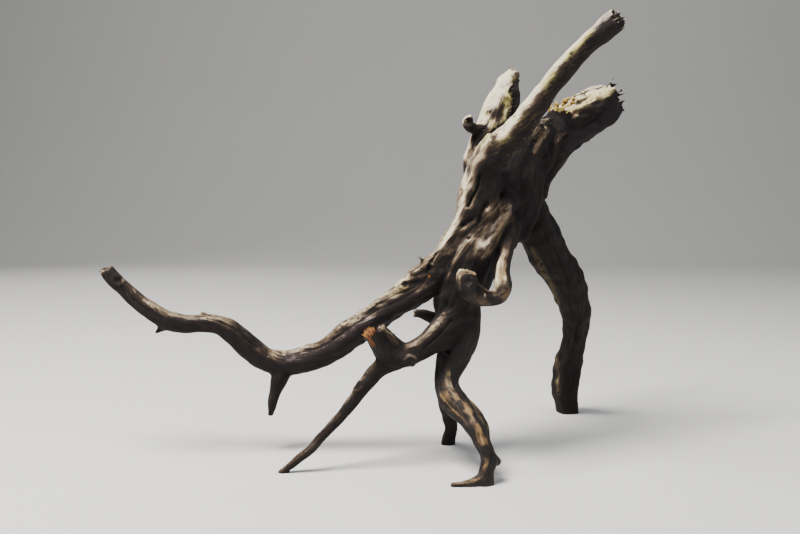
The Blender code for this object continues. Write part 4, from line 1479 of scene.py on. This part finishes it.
class Shader:
    """Makes the nodes of one material."""

    def __init__(self, name: str) -> None:
        """Start a material with its own surface shader.

        Args:
            name: the material's name.
        """
        self.material = bpy.data.materials.new(name)
        self.material.use_nodes = True
        self.tree = self.material.node_tree
        self.surface = self.tree.nodes["Principled BSDF"]

    def node(self, kind: str, settings: dict[str, Setting], values: dict[str | int, object],
             output: str | int = 0) -> Socket:
        """Add a node.

        Args:
            kind: the node's type.
            settings: properties of the node, set first; stops are a ramp's places and colours.
            values: a number, colour or link for each socket, by name or number.
            output: the socket that is handed back.

        Returns:
            That output.
        """
        node = self.tree.nodes.new(kind)
        for name, value in settings.items():
            if name == "stops":
                self._set_stops(node.color_ramp, value)
            else:
                setattr(node, name, value)
        for key, value in values.items():
            if isinstance(value, Socket):
                self.tree.links.new(value.link, node.inputs[key])
            else:
                node.inputs[key].default_value = value
        return Socket(self, node.outputs[output])

    @staticmethod
    def _set_stops(ramp: bpy.types.ColorRamp, stops: Sequence[tuple[float, Colour]]) -> None:
        """Give a ramp its places and colours."""
        while len(ramp.elements) < len(stops):
            ramp.elements.new(1.0)
        for element, (place, colour) in zip(ramp.elements, stops):
            element.position = place
            element.color = colour

    def attribute(self, name: str, vector: bool = False) -> Socket:
        """A number or a vector that the mesh holds."""
        return self.node("ShaderNodeAttribute", {"attribute_name": name}, {}, "Vector" if vector else "Fac")

    def stretched(self, vector: Socket, scale: Triple) -> Socket:
        """A vector times a scale in each direction."""
        return self.node("ShaderNodeVectorMath", {"operation": "MULTIPLY"}, {0: vector, 1: scale})

    def noise(self, vector: Socket, scale: float, detail: float = 3.0, rough: float = 0.55) -> Socket:
        """Cloudy noise from 0 to 1."""
        return self.node("ShaderNodeTexNoise", {}, {"Vector": vector, "Scale": scale, "Detail": detail,
                                                    "Roughness": rough})

    def mixed(self, share: "Socket | float", first: object, second: object) -> Socket:
        """Two colours mixed by a share."""
        return self.node("ShaderNodeMix", {"data_type": "RGBA"}, {0: share, 6: first, 7: second}, 2)

    def ramp(self, value: Socket, stops: Sequence[tuple[float, Colour]]) -> Socket:
        """A colour for each value."""
        return self.node("ShaderNodeValToRGB", {"stops": stops}, {"Fac": value})

    def bump(self, height: Socket, distance: float, strength: float) -> Socket:
        """Tilted normals from a height, whose full range stands for a distance in metres."""
        return self.node("ShaderNodeBump", {}, {"Height": height, "Distance": distance,
                                                "Strength": strength}, "Normal")

    def dress(self, **inputs: object) -> bpy.types.Material:
        """Set or link inputs of the surface shader, whose spaces are written as underscores."""
        for name, value in inputs.items():
            socket = self.surface.inputs[name.replace("_", " ")]
            if isinstance(value, Socket):
                self.tree.links.new(value.link, socket)
            else:
                socket.default_value = value
        return self.material


def paint(red: float, green: float, blue: float) -> Colour:
    """An opaque colour in linear light."""
    return red, green, blue, 1.0


# Noise along the grain: how much it is squeezed along it, scale, detail and roughness.
GRAIN_STREAKS = {"fine": (0.09, 0.8, 4.0, 0.65), "hair": (0.05, 2.6, 2.0, 0.55),
                 "fleck": (0.2, 1.2, 2.0, 0.7), "streak": (0.11, 0.42, 3.0, 0.55),
                 "patch": (0.3, 0.16, 3.0, 0.6), "drift": (0.3, 0.11, 3.0, 0.6)}
# Noise that is alike in every direction: scale, detail and roughness.
EVEN_SPOTS = {"grit": (420.0, 3.0, 0.6), "blotch": (55.0, 3.0, 0.6), "cloud": (22.0, 2.0, 0.55),
              "speck": (900.0, 2.0, 0.55), "spot": (105.0, 2.0, 0.6)}
WOOD_GLOSS = 0.28
SLIVER_GLOSS = 0.35


@dataclass(frozen=True)
class WeatheredFinishWithPaintedLight:
    """Old barkless wood with painted light and shade: beige where the painted light falls, black-brown in the
    painted shade of its hollows.
    """

    black: Colour = paint(0.0045, 0.0031, 0.0030)
    umber: Colour = paint(0.0150, 0.0092, 0.0068)
    brown: Colour = paint(0.050, 0.031, 0.0195)
    grey_brown: Colour = paint(0.165, 0.118, 0.075)
    beige: Colour = paint(0.44, 0.355, 0.225)
    cream: Colour = paint(0.80, 0.72, 0.50)
    tan: Colour = paint(0.125, 0.064, 0.026)
    honey: Colour = paint(0.34, 0.215, 0.085)
    orange: Colour = paint(0.50, 0.165, 0.028)
    rust: Colour = paint(0.12, 0.034, 0.010)
    plum: Colour = paint(0.020, 0.012, 0.014)
    olive: Colour = paint(0.15, 0.13, 0.034)
    straw: Colour = paint(0.50, 0.46, 0.13)
    lilac: Colour = paint(0.48, 0.41, 0.405)

    def material(self) -> bpy.types.Material:
        """Build the nodes.

        An age value says how pale the wood is: its limb's own paleness, raised by painted light by how far it
        faces the light's lean, which is mostly up, and on bare and worn places and painted highlights,
        lowered by painted shade where the sky is shut out, in hollows and in cracks, and by stains, with
        streaks along the grain. A ramp turns it to a colour, and warm, olive and fresh wood are laid over.
        """
        shader = Shader("weathered_wood")
        flow = shader.attribute("flow", vector=True)
        place = shader.node("ShaderNodeTexCoord", {}, {}, "Object")
        fine, hair, fleck, streak, patch, drift = (
            shader.noise(shader.stretched(flow, (1.0, 1.0, squeeze)), scale, detail, rough)
            for squeeze, scale, detail, rough in GRAIN_STREAKS.values())
        grit, blotch, cloud, speck, spot = (
            shader.noise(place, scale, detail, rough)
            for scale, detail, rough in EVEN_SPOTS.values())
        sun, wear, hollow, crack, pale, warm, dark, fresh, bare, moss = map(shader.attribute, (
            "sun", "wear", "hollow", "crack", "pale", "warm", "dark", "fresh", "bare", "moss"))
        # Painted shade where little of the sky reaches the wood, and painted light where light from the lean
        # reaches it.
        painted_shade_sheltered = 1 - shader.attribute("openness_for_painted_shade").rise(0.35, 0.95)
        painted_lit = sun.rise(0.08, 0.60)
        # The limb's own paleness, raised by the painted light and by the bare share: worn and bare wood, and
        # painted highlights.
        age = 0.05 + pale * 0.08 + painted_lit * (0.14 + 0.84 * pale) + bare * (0.2 + 0.3 * painted_lit)
        # Worn crests a little paler; painted shade in the broad hollows and where the sky is shut out.
        age = age + wear * (0.05 + 0.12 * painted_lit) - hollow.rise(0.1, 1.3) * 0.22 - painted_shade_sheltered * 0.18
        grain = (fine - 0.5) * 0.65 + (streak - 0.5) * 0.8 + (blotch - 0.5) * 0.5
        grain = grain + (hair - 0.5) * 0.25 + (grit - 0.5) * 0.4 - fleck.rise(0.55, 0.68) * 0.26
        # Streaks along the grain, stronger where the painted light falls; painted shade in cracks and
        # grooves; the dark share darkens stains and paints shade on faces in shadow and in the nicks.
        age = age + grain * (0.38 + 0.58 * painted_lit + 0.3 * pale) - crack * 0.34 - dark * 0.5
        age = (age - spot.rise(0.5, 0.62) * warm.rise(0.45, 0.9) * 0.2).clamped()
        colour = shader.ramp(age, ((0.0, self.black), (0.18, self.umber), (0.38, self.brown),
                                   (0.56, self.grey_brown), (0.76, self.beige), (1.0, self.cream)))
        mauve = shader.mixed(age.rise(0.2, 0.9), self.plum, self.lilac)
        colour = shader.mixed(drift.rise(0.5, 0.66) * 0.35 + (bare * -0.6).clamped(), colour, mauve)
        warmth = (warm * (patch * 1.5 - 0.2) + (fine - 0.5) * 0.5 + wear * 0.06).rise(0.5, 0.82)
        toasted = shader.mixed(age, self.tan, self.honey)
        colour = shader.mixed(warmth * age.rise(0.1, 0.45) * 0.85, colour, toasted)
        film = moss * (0.35 + fine * 0.9) + (cloud * 0.6 + blotch * 0.4).rise(0.54, 0.66) * 0.3
        greened = shader.mixed(age.rise(0.4, 0.9), self.olive, self.straw)
        colour = shader.mixed((film * age.rise(0.15, 0.5)).clamped() * 0.9, colour, greened)
        # The dark share, stains and painted shade alike, turns plum.
        colour = shader.mixed(dark.rise(0.35, 1.1) * 0.5, colour, self.plum)
        raw = shader.ramp((fine * 0.8 + hair * 0.6 - 0.2).clamped(),
                          ((0.36, self.rust), (0.66, self.orange), (0.95, self.honey)))
        colour = shader.mixed((fresh * (0.25 + 1.1 * fine)).clamped(), colour, raw)
        height = fine * 0.6 + hair * 0.4 + grit * 0.45 + speck * 0.2
        normal = shader.bump(height, 0.0009, 0.8)
        roughness = 0.86 - warm.rise(0.5, 1.0) * 0.24 + (speck - 0.5) * 0.2
        return shader.dress(Base_Color=colour, Roughness=roughness, Normal=normal,
                            Specular_IOR_Level=WOOD_GLOSS)


@dataclass(frozen=True)
class SliverFinish:
    """Torn wood: dark at its root, paler to its tip, and fibrous."""

    name: str
    root: Colour
    middle: Colour
    tip: Colour

    def material(self) -> bpy.types.Material:
        """Build the nodes: a ramp from root to tip, each blade a little lighter or darker."""
        shader = Shader(self.name)
        flow = shader.attribute("flow", vector=True)
        thread = shader.noise(shader.stretched(flow, (1.0, 1.0, 0.12)), 2.0, 3.0, 0.6)
        age = shader.attribute("along") * 0.55 + shader.attribute("shade") * 0.5 + (thread - 0.5) * 0.9
        colour = shader.ramp(age.clamped(), ((0.0, self.root), (0.5, self.middle), (1.0, self.tip)))
        normal = shader.bump(thread, 0.0005, 0.7)
        return shader.dress(Base_Color=colour, Roughness=0.88 - thread * 0.2, Normal=normal,
                            Specular_IOR_Level=SLIVER_GLOSS)


OLD_BREAK = SliverFinish("old_break", paint(0.05, 0.034, 0.022), paint(0.17, 0.125, 0.08),
                         paint(0.38, 0.31, 0.20))
FRESH_BREAK = SliverFinish("fresh_break", paint(0.045, 0.015, 0.008), paint(0.36, 0.115, 0.026),
                           paint(0.62, 0.33, 0.11))
YELLOW_BREAK = SliverFinish("yellow_break", paint(0.30, 0.095, 0.018), paint(0.50, 0.38, 0.085),
                            paint(0.82, 0.72, 0.28))
HAIR = SliverFinish("root_hair", paint(0.06, 0.04, 0.026), paint(0.17, 0.125, 0.075),
                    paint(0.36, 0.29, 0.18))
TEARS = {Tear.OLD: OLD_BREAK, Tear.FRESH: FRESH_BREAK, Tear.YELLOW: YELLOW_BREAK}


@dataclass
class TornEnds:
    """The splintered ends: slivers of many lengths in place of each big shard's smooth flanks."""

    routes: dict[str, Route]
    piece: bpy.types.Object
    seed: int = 31
    under_skin: float = 0.9
    rim_share: float = 0.98
    least_stand: float = 0.2
    sunk_share: float = 0.35
    sunk_least: float = 1.0
    sway: float = 0.6
    narrowest: float = 0.4
    thickness: tuple[float, float] = (0.25, 0.22)
    bends: tuple[float, float] = (-0.4, 0.5)
    twists: tuple[float, float] = (-1.1, 1.1)

    def rooted(self, root: np.ndarray) -> np.ndarray:
        """A root that lies in the wood: one outside it moves to just under the nearest skin.

        Args:
            root: where a blade would leave the wood, in mm.

        Returns:
            The root, moved where need be.
        """
        _, place, normal, _ = self.piece.closest_point_on_mesh(Vector(root * MM))
        place, normal = np.array(place) / MM, np.array(normal)
        inside = float((root - place) @ normal) < 0
        return root if inside else place - normal * self.under_skin

    def build(self) -> list[bpy.types.Object]:
        """Make a piece for each broken end.

        Slivers stand on the end in a sunflower's order, each at a golden angle from the last and
        out by the root of its number. Each is as long as the nearest big shard there allows. Most
        are narrow: the width over the narrowest is a draw from 0 to 1 to the power 2.2.

        Returns:
            The pieces.
        """
        finishes = {tear: finish.material() for tear, finish in TEARS.items()}
        pieces = []
        for number, torn in enumerate(BREAKS):
            draw = random.Random(self.seed + number)
            route = self.routes[torn.limb]
            end, radius, along, side, up = route.end_frame()
            shards = big_shards(torn, route)
            blades = Slivers(f"{torn.limb}_slivers")
            for index in range(torn.slivers):
                angle = index * GOLDEN_ANGLE
                out = radius * self.rim_share * math.sqrt((index + 0.5) / torn.slivers)
                outward = math.cos(angle) * side + math.sin(angle) * up
                foot = end + outward * out
                near = min(shards, key=lambda shard: np.linalg.norm(shard.tip - foot))
                stand = max(float((near.tip - foot) @ along), self.least_stand * torn.length)
                sunk = self.sunk_share * radius + self.sunk_least
                length = sunk + stand * draw.uniform(0.2, 1.0) * draw.uniform(0.5, 1.05)
                lean = along + outward * draw.uniform(-0.3, 1.0) * torn.splay
                aside = side * draw.uniform(-1, 1) + up * draw.uniform(-1, 1)
                lean = lean + self.sway * torn.splay * aside
                width = self.narrowest + (torn.widest - self.narrowest) * draw.random() ** 2.2
                thick = self.thickness[0] + self.thickness[1] * width
                blades.add(self.rooted(foot - along * sunk), lean, outward, length, width, thick,
                           draw.uniform(*self.bends), draw.uniform(*self.twists))
            pieces.append(blades.build(finishes[torn.tear]))
        return pieces


@dataclass(frozen=True)
class Hair:
    """A loose fibre: the pixel it grows from, the way it goes, length, radius and bend."""

    pixel: Pixel
    way: Triple
    length: float
    radius: float
    bend: float
    facing: Triple = (0.0, 0.0, -1.0)


HAIRS = (
    Hair((617, 16), (0.25, 0, 1), 7.0, 0.35, 1.6, (-1, 0, 0)),
    Hair((619, 17), (0.9, 0, 0.35), 6.0, 0.35, 0.6),
    Hair((104, 270), (-1, 0, 0.25), 5.5, 0.45, 0.8),
    Hair((107, 267), (0.2, 0, 1), 5.0, 0.4, 1.3, (-1, 0, 0)),
    Hair((566, 100), (0.3, -0.3, 1), 12.0, 0.8, 2.4, (-1, 0, 0)),
    Hair((556, 104), (-0.4, 0, 1), 7.0, 0.4, 1.1, (-1, 0, 0)),
    Hair((587, 97), (-0.3, 0, 1), 9.0, 0.55, 1.5, (-1, 0, 0)),
    Hair((512, 74), (1, 0, 0.1), 5.0, 0.5, 1.4),
    Hair((423, 259), (-0.6, -0.5, 0.6), 6.0, 0.35, 0.8),
    Hair((381, 327), (1, -0.2, -0.35), 12.0, 0.4, 0.5),
    Hair((384, 331), (1, -0.1, -0.5), 9.0, 0.4, -0.5),
    Hair((470, 126), (-1, 0, 0.1), 6.0, 0.5, -1.6),
)


@dataclass(frozen=True)
class Tuft:
    """Short fibres in a ragged row: the row's pixels, how many, the way they go and the longest."""

    pixels: tuple[Pixel, ...]
    count: int
    way: Triple
    longest: float
    radius: float = 0.15


TUFTS = (
    Tuft(((540, 117), (532, 131), (521, 144), (509, 154)), 20, (0.6, -0.2, -0.7), 5.0, 0.11),
    Tuft(((484, 131), (490, 137), (499, 141)), 34, (-0.5, -0.5, -0.6), 5.0),
    Tuft(((511, 87), (507, 92), (509, 99), (511, 104), (507, 112), (505, 120)), 26, (0.9, -0.2, 0.1), 3.5),
    Tuft(((511, 89), (506, 96), (509, 103), (506, 113)), 14, (0.9, -0.3, -0.1), 4.0, 0.3),
    Tuft(((486, 140), (493, 133), (500, 128)), 16, (-0.3, -0.6, -0.5), 4.0, 0.4),
    Tuft(((557, 98), (564, 95), (569, 99)), 24, (0.1, -0.4, 0.9), 5.0, 0.2),
    Tuft(((541, 130), (539, 138), (535, 150)), 18, (-0.3, -0.5, 0.6), 4.0),
    Tuft(((465, 277), (470, 275), (464, 287)), 10, (-0.5, -0.7, 0.1), 2.5, 0.1),
    Tuft(((368, 331), (372, 339)), 20, (-0.4, -0.4, 0.7), 4.0, 0.13),
    Tuft(((107, 267), (112, 272)), 12, (-0.5, 0, 0.8), 3.5, 0.14),
    Tuft(((408, 361), (413, 364)), 8, (-0.3, -0.8, -0.3), 2.5, 0.12),
    Tuft(((457, 434), (458, 427)), 14, (0.9, -0.2, -0.3), 3.5, 0.16),
    Tuft(((467, 119), (472, 117), (475, 121)), 14, (-0.3, -0.7, 0.5), 2.5, 0.12),
)


@dataclass
class LooseFibres:
    """Hairs and curls of wood that stand off the root, at the breaks and along the branches."""

    wood: RootWood
    piece: bpy.types.Object
    rooted: float = 1.6
    spread: float = 0.6
    scatter: float = 2.0
    bend: float = 0.9
    shortest_share: float = 0.25
    outward_share: float = 0.35
    girths: tuple[float, float] = (0.6, 1.2)
    flatness: float = 0.7
    seed: int = 5

    def tuft(self, tuft: Tuft, hairs: Slivers, draw: random.Random) -> None:
        """Root a tuft's fibres along its row, each where a sight line between its pixels lands.

        Args:
            tuft: the row.
            hairs: the piece that they join.
            draw: the order of random draws.
        """
        for _ in range(tuft.count):
            place = draw.uniform(0, len(tuft.pixels) - 1)
            first = min(int(place), len(tuft.pixels) - 2)
            part = place - first
            pixel = tuple((1 - part) * a + part * b + draw.gauss(0, self.scatter)
                          for a, b in zip(tuft.pixels[first], tuft.pixels[first + 1]))
            lean = np.array([draw.gauss(0, self.spread) for _ in range(3)])
            length = tuft.longest * draw.uniform(self.shortest_share, 1)
            bend = draw.uniform(-self.bend, self.bend)
            landed = self.wood.landing(self.piece, pixel)
            if landed is None:
                continue
            root, out = landed
            way = unit(unit(np.array(tuft.way)) + self.outward_share * out + lean)
            hairs.add(root - out * self.rooted, way + 0.2 * out, lean + out, length + self.rooted,
                      tuft.radius * draw.uniform(*self.girths), tuft.radius * self.flatness, bend, 0.0)

    def build(self) -> bpy.types.Object:
        """Make them as one piece of tapering tubes."""
        hairs = Slivers("loose_fibres", rings=9, sides=5)
        for hair in HAIRS:
            landed = self.wood.landing(self.piece, hair.pixel)
            if landed is None:
                log.warning("the fibre at pixel %s misses the wood", hair.pixel)
                continue
            way = unit(np.array(hair.way))
            hairs.add(landed[0] - landed[1] - way * self.rooted, way, np.array(hair.facing),
                      hair.length + self.rooted + 1, hair.radius, hair.radius, hair.bend, 0.0)
        draw = random.Random(self.seed)
        for tuft in TUFTS:
            self.tuft(tuft, hairs, draw)
        return hairs.build(HAIR.material())


# Crumbs of rotten wood: the pixel that each sits at, and its radius in mm.
CRUMBS = (
    ((557, 105), 1.9), ((561, 97), 1.7), ((565, 102), 2.2), ((569, 99), 1.5), ((567, 107), 1.6),
    ((571, 103), 1.3), ((562, 109), 1.3), ((560, 94), 1.2), ((564, 92), 1.0), ((573, 99), 1.0),
    ((560, 102), 1.8), ((569, 94), 1.1), ((558, 98), 1.4), ((564, 98), 1.5), ((567, 96), 1.2),
    ((563, 105), 1.6), ((570, 106), 1.0), ((574, 103), 0.8), ((559, 108), 1.1), ((565, 108), 1.0),
    ((556, 101), 1.2), ((566, 90), 0.8), ((561, 90), 0.7), ((575, 96), 0.7), ((577, 100), 0.7),
)


@dataclass
class Crumbs:
    """Knobby grains of soft rotten wood on the middle stump."""

    wood: RootWood
    piece: bpy.types.Object
    rings: int = 11
    sides: int = 14
    pole_gap: float = 0.06
    knobby: float = 1.0
    knob_cells: float = 2.3
    cells_between: float = 7.3
    stretches: tuple[float, float] = (0.55, 1.4)
    lift: float = 0.25
    shade_spacing: float = 1.4
    shape_seed: int = 41
    stretch_seed: int = 8
    shade_seed: int = 3

    def build(self) -> bpy.types.Object:
        """Make them as one piece of closed balls.

        A ball's radius in each direction is its own times one plus soft noise of that direction.
        """
        polar = np.linspace(self.pole_gap, math.pi - self.pole_gap, self.rings)[:, None, None]
        angles = np.linspace(0, FULL_TURN, self.sides, endpoint=False)[None, :, None]
        axes = np.eye(3)
        ball = (np.sin(polar) * (np.cos(angles) * axes[0] + np.sin(angles) * axes[1])
                - np.cos(polar) * axes[2])
        noise = GrainNoise(self.shape_seed)
        draw = np.random.default_rng(self.stretch_seed)
        skins = []
        for number, (pixel, radius) in enumerate(CRUMBS):
            landed = self.wood.landing(self.piece, pixel)
            if landed is None:
                log.warning("the crumb at pixel %s misses the wood", pixel)
                continue
            cells = ball.reshape(-1, 3) * self.knob_cells + number * self.cells_between
            shape = noise.at(cells).reshape(ball.shape[:2] + (1,))
            stretch = draw.uniform(*self.stretches, size=3)
            skins.append(landed[0] + landed[1] * radius * self.lift
                         + ball * stretch * radius * (1 + self.knobby * shape))
        shell = Shell.lofted(np.array(skins))
        mesh = shell.mesh("crumbs")
        each = len(shell.points) // len(skins)
        shade = np.random.default_rng(self.shade_seed).uniform(size=len(skins))
        mottle = noise.at(shell.points / self.shade_spacing)
        add_attribute(mesh, "along", np.clip(0.5 + 0.9 * mottle, 0, 1))
        add_attribute(mesh, "shade", np.repeat(shade, each))
        add_attribute(mesh, "flow", shell.points)
        return show("crumbs", mesh, YELLOW_BREAK.material())


@dataclass(frozen=True)
class Softbox:
    """A square area light: its place and side in metres, its power in watts and its colour."""

    name: str
    place: Triple
    side: float
    power: float
    colour: Triple

    def build(self, target: Triple) -> None:
        """Make it, looking at a target."""
        data = bpy.data.lights.new(self.name, "AREA")
        data.size, data.energy, data.color = self.side, self.power, self.colour
        light = added(self.name, data)
        light.location = self.place
        aim = Vector(target) - Vector(self.place)
        light.rotation_euler = aim.to_track_quat("-Z", "Y").to_euler()


LIGHTS = (
    Softbox("key", (-0.42, -0.30, 1.25), 0.55, 40.0, (1.0, 0.97, 0.92)),
    Softbox("fill", (1.4, -0.6, 0.8), 1.4, 9.0, (0.92, 0.95, 1.0)),
    Softbox("rim", (-0.7, 1.2, 0.9), 0.9, 5.0, (1.0, 0.98, 0.96)),
)


@dataclass(frozen=True)
class Studio:
    """The pale floor that curves up behind, the lights and the camera, in metres."""

    floor_colour: Colour = paint(0.78, 0.775, 0.76)
    half_width: float = 3.0
    front: float = -3.0
    bend_start: float = 1.6
    bend_radius: float = 1.0
    height: float = 3.0
    bend_steps: int = 24
    target: Triple = (0.02, 0.0, 0.16)
    world_colour: Colour = paint(0.85, 0.88, 0.93)
    world_strength: float = 0.2

    def floor(self) -> bpy.types.Object:
        """A sheet that runs flat to the bend, up a quarter circle, and on up the wall."""
        turn = np.linspace(0, math.pi / 2, self.bend_steps)
        depth = np.concatenate([[self.front], self.bend_start + self.bend_radius * np.sin(turn),
                                [self.bend_start + self.bend_radius]])
        lift = np.concatenate([[0.0], self.bend_radius * (1 - np.cos(turn)), [self.height]])
        rows = len(depth)
        left, right = (np.c_[np.full(rows, aside), depth, lift]
                       for aside in (-self.half_width, self.half_width))
        step = np.arange(rows - 1)
        quads = np.c_[step, step + rows, step + rows + 1, step + 1]
        shader = Shader("studio_floor")
        place = shader.node("ShaderNodeTexCoord", {}, {}, "Object")
        shade = shader.mixed(shader.noise(place, 3.0), self.floor_colour,
                             paint(*(0.96 * part for part in self.floor_colour[:3])))
        material = shader.dress(Base_Color=shade, Roughness=0.9)
        mesh = Shell(np.vstack([left, right]) / MM, quads).mesh("studio_floor")
        mesh.materials.append(material)
        floor = added("studio_floor", mesh)
        return floor

    def build(self) -> None:
        """Set up the floor, the lights, the world's glow and the camera."""
        self.floor()
        for light in LIGHTS:
            light.build(self.target)
        world = bpy.data.worlds.new("studio")
        world.use_nodes = True
        background = world.node_tree.nodes["Background"]
        background.inputs["Color"].default_value = self.world_colour
        background.inputs["Strength"].default_value = self.world_strength
        bpy.context.scene.world = world
        Eye().camera()


def main() -> None:
    """Build the wood, its torn ends and its fibres, then the studio."""
    logging.basicConfig(level=logging.INFO, format="%(name)s: %(message)s")
    wood = RootWood(voxel=FUSE_VOXEL)
    piece = wood.build(WeatheredFinishWithPaintedLight().material())
    TornEnds(wood.routes, piece).build()
    LooseFibres(wood, piece).build()
    Crumbs(wood, piece).build()
    Studio().build()


if __name__ == "__main__":
    main()
